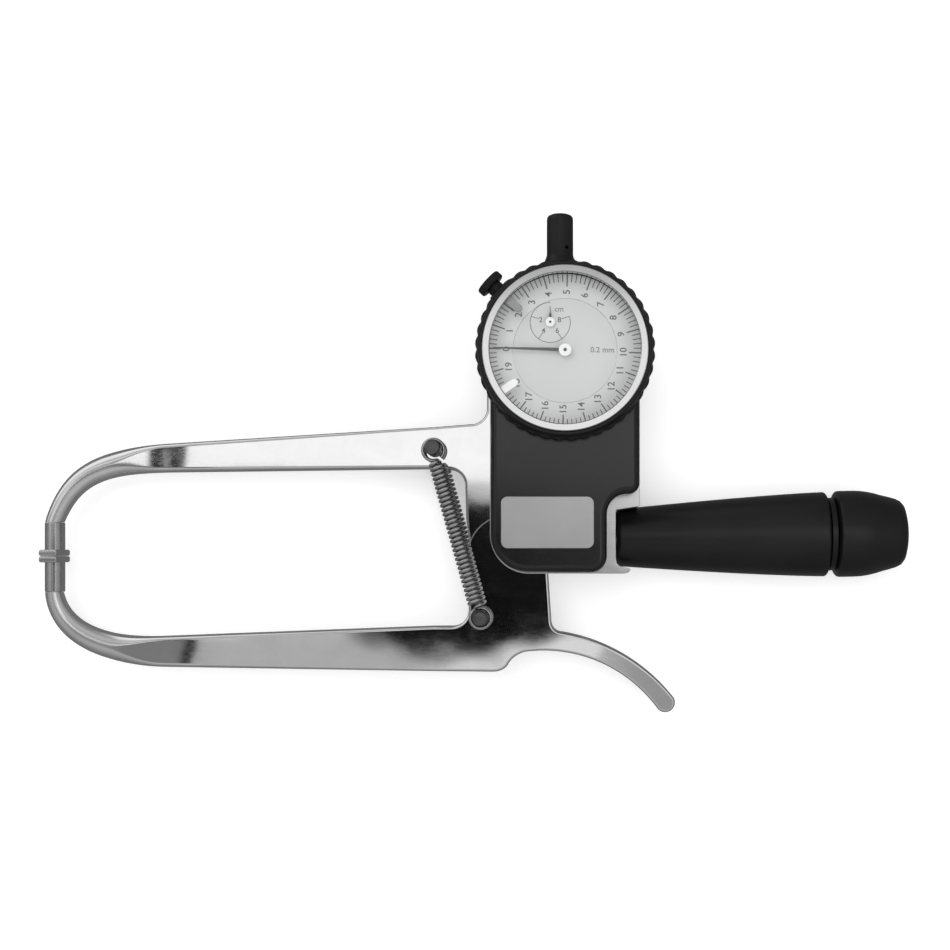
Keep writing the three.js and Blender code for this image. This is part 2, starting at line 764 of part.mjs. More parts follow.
// Jaws: a flat face on a squared barrel that takes the arm's spigot
function jaw(side) {
  const barrelEnd = FACE_THICKNESS + BARREL_LENGTH;
  const barrel = raised(
    roundedBox(BARREL_SIZE, BARREL_SIZE, BARREL_CORNER),
    FACE_THICKNESS - 0.4,
    barrelEnd,
  ).rotateX(-Math.PI / 2);
  const halfWidth = FACE_WIDTH / 2;
  const halfLength = FACE_LENGTH / 2;
  const face = box(-halfWidth, halfWidth, SEAT / 2, FACE_THICKNESS, -halfLength, halfLength);
  const bore = cylinder(
    SPIGOT_RADIUS + SEAT,
    barrelEnd - SPIGOT_LENGTH - SEAT,
    barrelEnd + 1,
    MEDIUM_SIDES,
  ).rotateX(-Math.PI / 2);
  const made = cut(join(barrel, face), bore);
  return side > 0 ? made : made.rotateZ(Math.PI);
}

place("upper_jaw", jaw(1), STEEL, -JAW_RADIUS, 0, midZ);

// Lower arm: hub, upright, bar, heel and trigger in one casting
function triggerArc(shape, arc, clockwise) {
  shape.absarc(arc.x, arc.y, arc.radius, arc.from * degrees, arc.to * degrees, clockwise);
}

function onArc(arc, angle) {
  const out = polar(arc.radius, angle * degrees);
  return point(arc.x + out.x, arc.y + out.y);
}

const triggerTop = {
  ...TRIGGER,
  x: TRIGGER.x - TRIGGER.radius * Math.cos(TRIGGER.from * degrees),
  y: TRIGGER.y - TRIGGER.radius * Math.sin(TRIGGER.from * degrees),
};
const triggerUnder = {
  x: triggerTop.x + TRIGGER_BELLY.x,
  y: triggerTop.y + TRIGGER_BELLY.y,
  radius: TRIGGER.radius - TRIGGER_BELLY.thinner,
  from: TRIGGER_BELLY.to,
  to: TRIGGER_BELLY.from,
};

function webOutline() {
  const shape = new THREE.Shape();
  const barLow = -LOWER_BAR.y - LOWER_BAR.width / 2;
  const barHigh = -LOWER_BAR.y + LOWER_BAR.width / 2;
  const heelTop = onArc(triggerUnder, triggerUnder.from);
  const tipTop = onArc(triggerTop, triggerTop.to);
  const tipLow = onArc(triggerUnder, triggerUnder.to);
  const tip = tipTop.clone().add(tipLow).multiplyScalar(0.5);
  const tipAngle = Math.atan2(tipTop.y - tip.y, tipTop.x - tip.x);
  const tipRadius = tipTop.distanceTo(tipLow) / 2;
  shape.moveTo(SHOULDER_X, barLow);
  shape.lineTo(HEEL.x, HEEL.y);
  shape.quadraticCurveTo(HEEL.x + 2.8, HEEL.y, HEEL.x + 4.6, HEEL.y + 2);
  shape.quadraticCurveTo(HEEL.x + HEEL.corner + 0.8, heelTop.y - 1.2, heelTop.x, heelTop.y);
  triggerArc(shape, triggerUnder, true);
  shape.absarc(tip.x, tip.y, tipRadius, tipAngle - Math.PI, tipAngle, false);
  triggerArc(shape, { ...triggerTop, from: TRIGGER.to, to: TRIGGER.from }, false);
  shape.quadraticCurveTo(
    WEB_RIGHT + 1,
    TRIGGER.y + 0.2,
    WEB_RIGHT + 0.6,
    TRIGGER.y + TRIGGER_FILLET,
  );
  shape.lineTo(WEB_RIGHT - 0.4, -HUB_RADIUS / 2);
  shape.lineTo(HUB_RADIUS - 0.4, 0);
  shape.lineTo(-HUB_RADIUS + 0.6, 0);
  shape.lineTo(WEB_LEFT + 0.2, -HUB_RADIUS / 2);
  shape.absarc(
    WEB_LEFT - INNER_FILLET,
    barHigh + INNER_FILLET,
    INNER_FILLET,
    0,
    -Math.PI / 2,
    true,
  );
  shape.lineTo(SHOULDER_X, barHigh);
  return shape;
}

function lever() {
  const reach = driveRadius + DRIVE_PIN_RADIUS + 1;
  return box(0, reach, -LEVER_HALF_WIDTH, LEVER_HALF_WIDTH, armBack, armFront).rotateZ(driveStart);
}

const lowerArmBody = join(
  sweptBar(armStations(LOWER_BEND, LOWER_BAR, -1, SHOULDER_X + 3, armThickness)),
  spigot(-1),
  raised(webOutline(), armBack, armFront, EDGE_BEVEL),
  cylinder(HUB_RADIUS, armBack, armFront, LARGE_SIDES),
  lever(),
);
place(
  "lower_arm",
  cut(
    lowerArmBody,
    cylinder(HUB_BORE, 0, drillTop, MEDIUM_SIDES),
    cylinder(STUD_SHANK_RADIUS + SEAT, 0, drillTop, MEDIUM_SIDES).translate(LOWER_STUD.x, LOWER_STUD.y, 0),
    cylinder(DRIVE_PIN_RADIUS - 0.4 + SEAT, armBack + 2, drillTop, MEDIUM_SIDES).translate(
      SPINDLE_X,
      drivePinY,
      0,
    ),
  ),
  POLISHED,
);
place("lower_jaw", jaw(-1), STEEL, -JAW_RADIUS, 0, midZ);
place(
  "drive_pin",
  turned(
    [
      [0, armBack + 2 + SEAT],
      [DRIVE_PIN_RADIUS - 0.4, armBack + 2 + SEAT],
      [DRIVE_PIN_RADIUS - 0.4, armFront + SEAT],
      [DRIVE_PIN_RADIUS, armFront + SEAT],
      [DRIVE_PIN_RADIUS, spindleZ + 3],
      [0, spindleZ + 3],
    ],
    MEDIUM_SIDES,
  ),
  STEEL,
  SPINDLE_X,
  drivePinY,
);

// Studs, each one shaft through its arm with a grooved head in front and behind
function stud(face, grooveHalf, grooveRadius) {
  const centreZ = springZ;
  const half = [
    [STUD_SHANK_RADIUS, face],
    [STUD_BASE_RADIUS, face],
    [STUD_BASE_RADIUS, centreZ - grooveHalf],
    [grooveRadius, centreZ - grooveHalf],
    [grooveRadius, centreZ + grooveHalf],
    [STUD_HEAD_RADIUS, centreZ + grooveHalf],
    [STUD_HEAD_RADIUS - 0.3, centreZ + grooveHalf + STUD_HEAD_HEIGHT],
    [0, centreZ + grooveHalf + STUD_HEAD_HEIGHT],
  ];
  const mirrored = half.map(([r, z]) => [r, 2 * midZ - z]).reverse();
  return turned([...mirrored, ...half], SMALL_SIDES);
}

place(
  "upper_spring_stud",
  stud(coreFront + SEAT, GROOVE_HALF, UPPER_GROOVE_RADIUS),
  DARK_STEEL,
  UPPER_STUD.x,
  UPPER_STUD.y,
);
place(
  "lower_spring_stud",
  stud(armFront + SEAT, GROOVE_HALF + 0.4, LOWER_GROOVE_RADIUS),
  DARK_STEEL,
  LOWER_STUD.x,
  LOWER_STUD.y,
);

// Springs: an eye, a lead into the coil, the coil, and the same again turned half round
const SPRING_LEAD = 1.35; // how far a lead runs along the spring
const LEAD_STEPS = 4;
const EYE_GAP = 60 * degrees; // left open at each eye's free end
const springAxis = point(LOWER_STUD.x - UPPER_STUD.x, LOWER_STUD.y - UPPER_STUD.y).normalize();
const springAcross = point(-springAxis.y, springAxis.x);
const upperEyeDrop = UPPER_EYE_RADIUS - WIRE_RADIUS - UPPER_GROOVE_RADIUS - EYE_PLAY;
const upperEye = point(UPPER_STUD.x, UPPER_STUD.y).addScaledVector(springAxis, upperEyeDrop);
const eyeDistance = upperEye.distanceTo(point(LOWER_STUD.x, LOWER_STUD.y));

// Points as [along, across, out] from an eye's centre to where its lead reaches the coil
function eyeAndLead(eyeRadius) {
  const points = [];
  const start = EYE_GAP - 2 * Math.PI;
  const first = polar(eyeRadius, start);
  const heading = polar(1, start + Math.PI / 2);
  const straight = 2 * WIRE_RADIUS;
  points.push([first.x - heading.x * straight, first.y - heading.y * straight, 0]);
  for (let i = 0; i <= EYE_STEPS; i += 1) {
    const on = polar(eyeRadius, start * (1 - i / EYE_STEPS));
    points.push([on.x, on.y, 0]);
  }
  for (let i = 1; i < LEAD_STEPS; i += 1) {
    const share = i / LEAD_STEPS;
    const out = COIL_RADIUS * Math.sin((share * Math.PI) / 2);
    const turn = polar(out, share * Math.PI);
    points.push([eyeRadius + SPRING_LEAD * share, turn.x, turn.y]);
  }
  return points;
}

function springPath() {
  const coilStart = UPPER_EYE_RADIUS + SPRING_LEAD;
  const coilLength = eyeDistance - coilStart - LOWER_EYE_RADIUS - SPRING_LEAD;
  const steps = Math.round(COIL_TURNS * COIL_STEPS);
  const local = eyeAndLead(UPPER_EYE_RADIUS);
  for (let i = 0; i <= steps; i += 1) {
    const share = i / steps;
    const turn = polar(COIL_RADIUS, Math.PI + share * COIL_TURNS * 2 * Math.PI);
    local.push([coilStart + coilLength * share, turn.x, turn.y]);
  }
  const lower = eyeAndLead(LOWER_EYE_RADIUS).reverse();
  local.push(...lower.map(([along, across, out]) => [eyeDistance - along, -across, out]));
  return local.map(([along, across, out]) => {
    const at = upperEye
      .clone()
      .addScaledVector(springAxis, along)
      .addScaledVector(springAcross, across);
    return new THREE.Vector3(at.x, at.y, out);
  });
}

function wireAlong(path) {
  const tangents = path.map((_, i) => {
    const before = path[Math.max(i - 1, 0)];
    const after = path[Math.min(i + 1, path.length - 1)];
    return after.clone().sub(before).normalize();
  });
  let side = new THREE.Vector3(0, 0, 1);
  const rings = path.map((centre, i) => {
    const tangent = tangents[i];
    side = side.clone().addScaledVector(tangent, -side.dot(tangent)).normalize();
    const up = tangent.clone().cross(side);
    return Array.from({ length: WIRE_SIDES }, (_, s) => {
      const turn = polar(WIRE_RADIUS, (s / WIRE_SIDES) * 2 * Math.PI);
      return centre.clone().addScaledVector(side, turn.x).addScaledVector(up, turn.y);
    });
  });
  return ringsToGeometry(rings);
}

// The least gap of a wire to itself, between points more than two wires apart along it
function leastGap(path) {
  const reach = [0];
  path.slice(1).forEach((p, i) => reach.push(reach[i] + p.distanceTo(path[i])));
  let least = Infinity;
  path.forEach((p, i) => {
    path.slice(i + 1).forEach((q, k) => {
      const along = reach[i + 1 + k] - reach[i];
      if (along > 6 * WIRE_RADIUS) least = Math.min(least, p.distanceTo(q));
    });
  });
  return least - 2 * WIRE_RADIUS;
}

const wirePath = springPath();
console.log("spring: least gap of the wire to itself " + leastGap(wirePath).toFixed(2) + " mm");
place("front_spring", wireAlong(wirePath), STEEL, 0, 0, springZ);
place("rear_spring", wireAlong(wirePath), STEEL, 0, 0, 2 * midZ - springZ);

const bushHalf = GROOVE_HALF + 0.1;
const springBush = tube(
  LOWER_GROOVE_RADIUS + BUSH_PLAY,
  LOWER_EYE_RADIUS - WIRE_RADIUS - EYE_PLAY * 1.5,
  -bushHalf,
  bushHalf,
  MEDIUM_SIDES,
);
place("front_spring_bush", springBush, BRASS, LOWER_STUD.x, LOWER_STUD.y, springZ);
place("rear_spring_bush", springBush, BRASS, LOWER_STUD.x, LOWER_STUD.y, 2 * midZ - springZ);

// Handle
const rodBore = TIE_ROD_RADIUS + SEAT;
const gripProfile = [
  [rodBore, 0],
  [GRIP_END_RADIUS - 1.6, 0],
  [GRIP_END_RADIUS - 0.5, 0.5],
];
const GRIP_STEPS = 5;
for (let i = 0; i <= GRIP_STEPS; i += 1) {
  const share = i / GRIP_STEPS;
  const swell = 1 - (1 - share) ** 1.3;
  gripProfile.push([
    THREE.MathUtils.lerp(GRIP_END_RADIUS, GRIP_RADIUS, swell),
    THREE.MathUtils.lerp(1.7, GRIP_LENGTH - GROOVE_CHAMFER * 0.7, share),
  ]);
}
gripProfile.push([GRIP_RADIUS - GROOVE_CHAMFER, GRIP_LENGTH], [rodBore, GRIP_LENGTH]);
const capStart = GRIP_LENGTH + RING_WIDTH;
const capEnd = capStart + CAP_LENGTH;
const capBoreEnd = capStart + CAP_LENGTH / 2;
const capProfile = [
  [0, capBoreEnd],
  [rodBore, capBoreEnd],
  [rodBore, capStart],
  [CAP_RADIUS - GROOVE_CHAMFER, capStart],
  [CAP_RADIUS, capStart + GROOVE_CHAMFER * 0.7],
  [CAP_RADIUS, capStart + CAP_LENGTH * 0.32],
  [CAP_RADIUS - 0.6, capStart + CAP_LENGTH * 0.48],
  [CAP_RADIUS - 1.6, capStart + CAP_LENGTH * 0.65],
  [CAP_END_RADIUS, capEnd - CAP_DOME],
  [CAP_END_RADIUS - 1.4, capEnd - CAP_DOME * 0.45],
  [CAP_END_RADIUS - 4.2, capEnd - CAP_DOME * 0.12],
  [0, capEnd],
];

function placeOnHandle(name, geometry, material) {
  return place(name, alongHandle(geometry), material, 0, 0, 0, handleAxis);
}

placeOnHandle("handle_grip", turned(gripProfile, HANDLE_SIDES), BLACK_HANDLE);
placeOnHandle(
  "handle_ring",
  tube(rodBore, RING_RADIUS, GRIP_LENGTH + SEAT, capStart - SEAT, HANDLE_SIDES),
  BLACK_HANDLE,
);
placeOnHandle("handle_end_cap", turned(capProfile, HANDLE_SIDES), BLACK_HANDLE);
placeOnHandle(
  "handle_tie_rod",
  cylinder(TIE_ROD_RADIUS, -TIE_ROD_IN_FRAME, capBoreEnd - SEAT, MEDIUM_SIDES),
  STEEL,
);

// Gauge: everything in this group is measured from the dial's centre
const gauge = new THREE.Group();
gauge.position.set(GAUGE_X, GAUGE_Y, 0);
caliper.add(gauge);

function placeOnGauge(name, geometry, material, x = 0, y = 0, z = 0) {
  return place(name, geometry, material, x, y, z, gauge);
}

// A solid turned about the spindle's axis, with heights measured up the gauge
function alongSpindle(geometry) {
  return geometry.rotateX(-Math.PI / 2).translate(SPINDLE_X - GAUGE_X, 0, spindleZ);
}

const backTop = frontCoverBottom + BACK_THICKNESS;
placeOnGauge(
  "gauge_back_plate",
  cut(
    join(
      cylinder(CASE_RADIUS - 0.4, frontCoverBottom, backTop, LARGE_SIDES),
      cylinder(LUG_RADIUS, lugBottom, backTop - 0.4),
    ),
    cylinder(GAUGE_SCREW_RADIUS + SEAT, 0, frontCoverBottom),
  ),
  SATIN_METAL,
);
placeOnGauge(
  "gauge_screw",
  turned(
    [
      [0, coreBack + 0.6],
      [GAUGE_SCREW_HEAD, coreBack + 0.6],
      [GAUGE_SCREW_HEAD, coreBack + 3.1],
      [GAUGE_SCREW_RADIUS, coreBack + 3.1],
      [GAUGE_SCREW_RADIUS, frontCoverBottom - SEAT],
      [0, frontCoverBottom - SEAT],
    ],
    MEDIUM_SIDES,
  ),
  DARK_STEEL,
);
const spindleHole = alongSpindle(
  cylinder(SPINDLE_RADIUS + SEAT, -CASE_RADIUS - 1, CASE_RADIUS + 1, MEDIUM_SIDES),
);
placeOnGauge(
  "gauge_case",
  cut(tube(CASE_RADIUS - CASE_WALL, CASE_RADIUS, caseBottom, caseTop, LARGE_SIDES), spindleHole),
  BLACK_MOULDING,
);
const stemTop = -CASE_RADIUS - SEAT;
const stemBottom = stemTop - STEM_LENGTH;
placeOnGauge(
  "gauge_stem",
  alongSpindle(tube(SPINDLE_RADIUS + SEAT, STEM_RADIUS, stemBottom, stemTop, MEDIUM_SIDES)),
  STEEL,
);
const SADDLE = { halfWidth: 7, length: 8, height: 4.6 };
placeOnGauge(
  "stem_saddle",
  cut(
    box(
      SPINDLE_X - GAUGE_X - SADDLE.halfWidth,
      SPINDLE_X - GAUGE_X + SADDLE.halfWidth,
      stemBottom + 2,
      stemBottom + 2 + SADDLE.length,
      frontCoverBottom,
      frontCoverBottom + SADDLE.height,
    ),
    alongSpindle(cylinder(STEM_RADIUS + SEAT, stemBottom, stemTop, MEDIUM_SIDES)),
  ),
  SATIN_METAL,
);
const capBase = CASE_RADIUS + SEAT;
const capBore = SPINDLE_RADIUS + 0.5;
const stemCapTop = capBase + STEM_CAP_LENGTH;
const flareRadius = STEM_CAP_RADIUS + STEM_CAP_FLARE;
placeOnGauge(
  "stem_cap",
  alongSpindle(
    turned(
      [
        [0, stemCapTop - 1.6],
        [capBore, stemCapTop - 1.6],
        [capBore, capBase],
        [flareRadius, capBase],
        [flareRadius, capBase + 3.5],
        [STEM_CAP_RADIUS, capBase + 5.6],
        [STEM_CAP_RADIUS, stemCapTop - 2],
        [STEM_CAP_RADIUS - 0.6, stemCapTop - 0.8],
        [STEM_CAP_RADIUS - 2, stemCapTop - 0.15],
        [0, stemCapTop],
      ],
      MEDIUM_SIDES,
    ),
  ),
  BLACK_MOULDING,
);

// Movement: the rack on the spindle turns a pinion, whose wheel turns the centre pinion
const wheelBottom = spindleZ + SPINDLE_RADIUS + 1;
const WHEEL_THICKNESS = 0.6;
const MOVEMENT_PLATE_THICKNESS = 1;
const ARBOR_RADIUS = 0.6;
const ARBOR_HOLE = ARBOR_RADIUS + 0.15;
const movementRadius = CASE_RADIUS - CASE_WALL - SEAT;
const arborHoles = [
  cylinder(ARBOR_HOLE, 0, collarTop, SMALL_SIDES),
  cylinder(ARBOR_HOLE, 0, collarTop, SMALL_SIDES).translate(COUNTER_OFFSET.x, COUNTER_OFFSET.y, 0),
];
placeOnGauge(
  "movement_plate",
  cut(
    cylinder(
      movementRadius,
      dialBottom - SEAT - MOVEMENT_PLATE_THICKNESS,
      dialBottom - SEAT,
      LARGE_SIDES,
    ),
    ...arborHoles,
  ),
  BRASS,
);

// A toothed wheel whose teeth stop half the backlash short of the pitch circle
function gear(pitchRadius, teeth, bottom, top) {
  const shape = new THREE.Shape();
  const tip = pitchRadius - GEAR_BACKLASH / 2;
  const root = tip - TOOTH_HEIGHT;
  const pitch = (2 * Math.PI) / teeth;
  for (let i = 0; i < teeth; i += 1) {
    const low = polar(root, (i - 0.5) * pitch);
    const high = polar(tip, i * pitch);
    if (i === 0) shape.moveTo(low.x, low.y);
    else shape.lineTo(low.x, low.y);
    shape.lineTo(high.x, high.y);
  }
  return raised(shape, bottom, top);
}

const smallHandZ = dialTop + 1;
const mainHandZ = smallHandZ + 1.1;
const HAND_THICKNESS = 0.3;
const rackPinion = gear(rackPitchRadius, PINION_TEETH, spindleZ - 1.6, spindleZ + 1.6);
placeOnGauge(
  "counter_wheel",
  join(
    cylinder(ARBOR_RADIUS, caseBottom, smallHandZ - 0.1, SMALL_SIDES),
    rackPinion,
    gear(
      wheelRadius,
      PINION_TEETH * GEAR_RATIO,
      wheelBottom,
      wheelBottom + WHEEL_THICKNESS,
    ),
  ),
  BRASS,
  COUNTER_OFFSET.x,
  COUNTER_OFFSET.y,
);
placeOnGauge(
  "centre_pinion",
  join(
    cylinder(ARBOR_RADIUS, spindleZ + SPINDLE_RADIUS + SEAT, mainHandZ - 0.3, SMALL_SIDES),
    gear(
      centrePinionRadius,
      PINION_TEETH,
      wheelBottom - 0.1,
      wheelBottom + WHEEL_THICKNESS + 0.2,
    ),
  ),
  BRASS,
);

// Hands, drawn pointing along X and turned to their marks
function hand(length, hubRadius, rootWidth, tipWidth) {
  const shape = new THREE.Shape();
  shape.moveTo(0, -rootWidth / 2);
  shape.lineTo(length, -tipWidth / 2);
  shape.lineTo(length, tipWidth / 2);
  shape.lineTo(0, rootWidth / 2);
  const hub = cylinder(hubRadius, -0.2, HAND_THICKNESS + 0.2, MEDIUM_SIDES);
  return join(raised(shape, 0, HAND_THICKNESS), hub);
}

placeOnGauge(
  "small_hand",
  hand(SMALL_HAND_LENGTH, 1.45, 0.9, 0.25).rotateZ(Math.PI / 2),
  DARK_STEEL,
  COUNTER_OFFSET.x,
  COUNTER_OFFSET.y,
  smallHandZ + SEAT,
);
placeOnGauge(
  "main_hand",
  hand(MAIN_HAND_LENGTH, 2, 1.15, 0.35).rotateZ(DIAL_ZERO * degrees),
  DARK_STEEL,
  0,
  0,
  mainHandZ + 0.2,
);

// Spindle, from its contact tip over the drive pin up into the stem cap
const RACK_TEETH = 12;
const TIP_LENGTH = 3;
const TIP_RADIUS = 2.4;
const tipLow = drivePinY + DRIVE_PIN_RADIUS + SEAT - GAUGE_Y;
const spindleLow = tipLow + TIP_LENGTH + SEAT;
const spindleHigh = capBase + STEM_CAP_LENGTH - 1.6 - spindleTravel - 1;

function rackCutter() {
  const shape = new THREE.Shape();
  const pitch = (2 * Math.PI * rackPitchRadius) / PINION_TEETH;
  const tipX = -(SPINDLE_X - counterX - rackPitchRadius) + GEAR_BACKLASH / 2;
  const rootX = tipX + TOOTH_HEIGHT;
  const start = COUNTER_OFFSET.y - (RACK_TEETH - 2.5) * pitch;
  const outside = -SPINDLE_RADIUS - 1;
  shape.moveTo(outside, start);
  for (let i = 0; i < RACK_TEETH; i += 1) {
    const at = start + i * pitch;
    shape.lineTo(tipX, at);
    shape.lineTo(rootX, at + 0.25 * pitch);
    shape.lineTo(rootX, at + 0.5 * pitch);
    shape.lineTo(tipX, at + 0.75 * pitch);
  }
  shape.lineTo(tipX, start + RACK_TEETH * pitch);
  shape.lineTo(outside, start + RACK_TEETH * pitch);
  return raised(shape, -SPINDLE_RADIUS - 1, SPINDLE_RADIUS + 1).translate(
    SPINDLE_X - GAUGE_X,
    0,
    spindleZ,
  );
}

placeOnGauge(
  "spindle",
  cut(alongSpindle(cylinder(SPINDLE_RADIUS, spindleLow, spindleHigh, MEDIUM_SIDES)), rackCutter()),
  STEEL,
);
placeOnGauge(
  "contact_tip",
  alongSpindle(cylinder(TIP_RADIUS, tipLow, tipLow + TIP_LENGTH, MEDIUM_SIDES)),
  DARK_STEEL,
);

// Dial, in a fixed middle and a graduated ring that turns with the bezel
placeOnGauge(
  "dial_centre",
  cut(cylinder(DIAL_CENTRE_RADIUS, dialBottom, dialTop, LARGE_SIDES), ...arborHoles),
  DIAL_FACE,
);
placeOnGauge(
  "dial_scale_ring",
  tube(DIAL_CENTRE_RADIUS + SEAT, lipRadius - SEAT, dialBottom, dialTop, LARGE_SIDES),
  DIAL_FACE,
);

// Bezel: scalloped skirt with a collar, crystal and silver ring
function scallopedOutline() {
  const shape = new THREE.Shape();
  const stepsPerScallop = 3;
  const steps = SCALLOP_COUNT * stepsPerScallop;
  for (let i = 0; i < steps; i += 1) {
    const lobe = Math.abs(Math.sin((Math.PI * i) / stepsPerScallop));
    const at = polar(bezelRadius - SCALLOP_DEPTH * (1 - lobe), (2 * Math.PI * i) / steps);
    if (i === 0) shape.moveTo(at.x, at.y);
    else shape.lineTo(at.x, at.y);
  }
  return shape;
}

const bezelBore = CASE_RADIUS + SEAT;
placeOnGauge(
  "bezel_skirt",
  cut(
    join(
      raised(scallopedOutline(), skirtBottom, skirtTop),
      turned(
        [
          [bezelBore, skirtTop - 0.4],
          [bezelBore + COLLAR_WALL + 0.4, skirtTop - 0.4],
          [bezelBore + COLLAR_WALL + 0.4, skirtTop + 0.4],
          [bezelBore + COLLAR_WALL - 0.3, collarTop],
          [bezelBore, collarTop],
        ],
        LARGE_SIDES,
      ),
    ),
    cylinder(bezelBore, skirtBottom - 1, lipBottom, LARGE_SIDES),
    cylinder(lipRadius, 0, skirtTop + 0.05, LARGE_SIDES),
  ),
  BLACK_MOULDING,
);
placeOnGauge(
  "crystal",
  cylinder(bezelBore - SEAT, crystalBottom, crystalBottom + CRYSTAL_THICKNESS, LARGE_SIDES),
  CLEAR,
);
const silverTop = silverRingBottom + SILVER_RING_HEIGHT;
placeOnGauge(
  "bezel_ring",
  turned(
    [
      [ringInnerRadius, silverRingBottom],
      [bezelBore - SEAT, silverRingBottom],
      [bezelBore - SEAT, silverTop - 0.4],
      [bezelBore - SEAT - 0.4, silverTop],
      [ringInnerRadius + 1.1, silverTop],
      [ringInnerRadius, silverTop - 1.3],
    ],
    LARGE_SIDES,
  ),
  SATIN_METAL,
);

function marker() {
  const outer = bezelBore - SEAT - 0.6;
  const inner = ringInnerRadius - MARKER_REACH;
  const half = MARKER_WIDTH / 2;
  const shape = new THREE.Shape();
  shape.moveTo(inner + half, -half);
  shape.lineTo(outer, -half);
  shape.lineTo(outer, half);
  shape.lineTo(inner + half, half);
  shape.absarc(inner + half, 0, half, Math.PI / 2, Math.PI * 1.5, false);
  return raised(shape, markerBottom, markerBottom + MARKER_THICKNESS);
}

MARKERS.forEach(({ name, angle }, i) => {
  placeOnGauge(name, marker().rotateZ(angle * degrees), i === 0 ? WHITE : GREY);
});

// Bezel clamp: a thumb screw in a block on the case, pointing out along the clamp's angle
const clampZ = skirtBottom - KNOB_RADIUS - 0.6;
const BLOCK = { depth: 3, halfWidth: 4, halfHeight: 4.2 };
const blockInner = CASE_RADIUS + SEAT;
const blockOuter = blockInner + BLOCK.depth;
const SHANK_RADIUS = 1.4;
const NECK_RADIUS = 2.6;
const NECK_LENGTH = 1.9;
const knobStart = blockOuter + SEAT + NECK_LENGTH;
const clamp = new THREE.Group();
clamp.rotation.z = CLAMP_ANGLE * degrees;
clamp.position.z = clampZ;
gauge.add(clamp);
place(
  "bezel_clamp_block",
  cut(
    box(
      blockInner,
      blockOuter,
      -BLOCK.halfWidth,
      BLOCK.halfWidth,
      -BLOCK.halfHeight,
      BLOCK.halfHeight,
    ),
    cylinder(SHANK_RADIUS + SEAT, blockInner - 1, blockOuter + 1, SMALL_SIDES).rotateY(Math.PI / 2),
  ),
  BLACK_MOULDING,
  0,
  0,
  0,
  clamp,
);
place(
  "bezel_clamp_screw",
  turned(
    [
      [0, blockInner + 0.5],
      [SHANK_RADIUS, blockInner + 0.5],
      [SHANK_RADIUS, blockOuter + SEAT],
      [NECK_RADIUS, blockOuter + SEAT],
      [NECK_RADIUS, knobStart],
      [KNOB_RADIUS, knobStart],
      [KNOB_RADIUS, knobStart + KNOB_THICKNESS - 0.4],
      [KNOB_RADIUS - 0.4, knobStart + KNOB_THICKNESS],
      [0, knobStart + KNOB_THICKNESS],
    ],
    MEDIUM_SIDES,
  ).rotateY(Math.PI / 2),
  BLACK_MOULDING,
  0,
  0,
  0,
  clamp,
);

export default caliper;
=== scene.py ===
# %% [markdown]
# # A dial skinfold caliper
# The caliper lies on its back, and the camera looks straight down on it. Its solids and
# joints come from a CAD frame. This lesson dresses them: each visible part is modelled
# again in fine mesh, given a finish, and set to ride on the body that carries it.

# %% Load the frame
import math

import bmesh
import bpy
from mathutils import Matrix, Vector
from mathutils.geometry import interpolate_bezier


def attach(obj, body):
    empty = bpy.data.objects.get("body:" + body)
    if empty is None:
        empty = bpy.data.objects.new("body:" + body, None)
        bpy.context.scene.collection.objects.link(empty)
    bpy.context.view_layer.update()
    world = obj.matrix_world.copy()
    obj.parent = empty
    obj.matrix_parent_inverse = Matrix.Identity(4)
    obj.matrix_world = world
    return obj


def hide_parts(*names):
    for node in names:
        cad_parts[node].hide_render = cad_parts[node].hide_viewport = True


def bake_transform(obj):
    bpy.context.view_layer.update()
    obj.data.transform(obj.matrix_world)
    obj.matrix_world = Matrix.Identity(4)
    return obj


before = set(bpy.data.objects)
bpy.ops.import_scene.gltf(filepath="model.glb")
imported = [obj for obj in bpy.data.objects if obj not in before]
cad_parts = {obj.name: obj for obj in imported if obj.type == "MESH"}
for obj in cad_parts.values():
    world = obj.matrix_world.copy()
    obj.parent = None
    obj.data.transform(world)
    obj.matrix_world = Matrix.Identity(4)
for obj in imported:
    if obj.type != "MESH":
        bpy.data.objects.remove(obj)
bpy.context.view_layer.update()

# %% [markdown]
# ## Heights and places
# The frame is a stack of flat parts, so one list of heights places most of the caliper.
# The numbers are millimetres, as on a drawing, and each mesh is brought to metres once,
# when it becomes an object. Typing metres would work too, but it is hard to check by eye.

# %% Heights and places
MM = 0.001
# Heights above the table: the lower and upper face of each part in the stack.
REAR_COVER = (0.0, 6.6)
REAR_PLATE = (6.9, 8.9)
CORE = (9.2, 19.2)
ARM = (9.5, 18.9)
FRONT_PLATE = (19.5, 21.5)
FRONT_COVER = (21.8, 33.5)
LABEL = (33.6, 34.1)
CASE = (23.9, 34.6)
DIAL = (35.2, 35.8)
SKIRT = (33.9, 39.8)
CRYSTAL = (39.9, 41.1)
SILVER_RING = (42.2, 44.2)
# The arms, the handle and the spring studs are symmetric about this height.
MID = 14.2
# A tool that starts below and ends above the plates and covers cuts right through them.
BELOW, ABOVE = -1, 40
# Places seen from above, with the pivot at the origin.
DIAL_CENTRE = Vector((18.4, 65.1, 0))
UPPER_STUD = Vector((-24.5, 35.2, 0))
LOWER_STUD = Vector((-9.0, -20.1, 0))
HANDLE_END = Vector((35.3, 6.0, MID))
HANDLE_LEAN = 1
JAW_X = -150
ROOT_X = -24.8
SPINDLE_X, SPINDLE_HEIGHT = 16.8, 26.9
SPRING_HEIGHTS = (23.5, 4.9)
print("stack from", REAR_COVER[0], "to", SILVER_RING[1], "mm")

# %% [markdown]
# ## The camera
# The photograph looks straight down from about 54 cm, with the sharpest perspective far
# to the right of its middle. A shift of the lens gives that framing and keeps the camera
# upright. Turning the camera would also frame it, but would tilt the round dial.

# %% Camera
CAMERA_PLACE = Vector((15.84, 1.65, 554.2))
PHOTO_PIXELS = 950


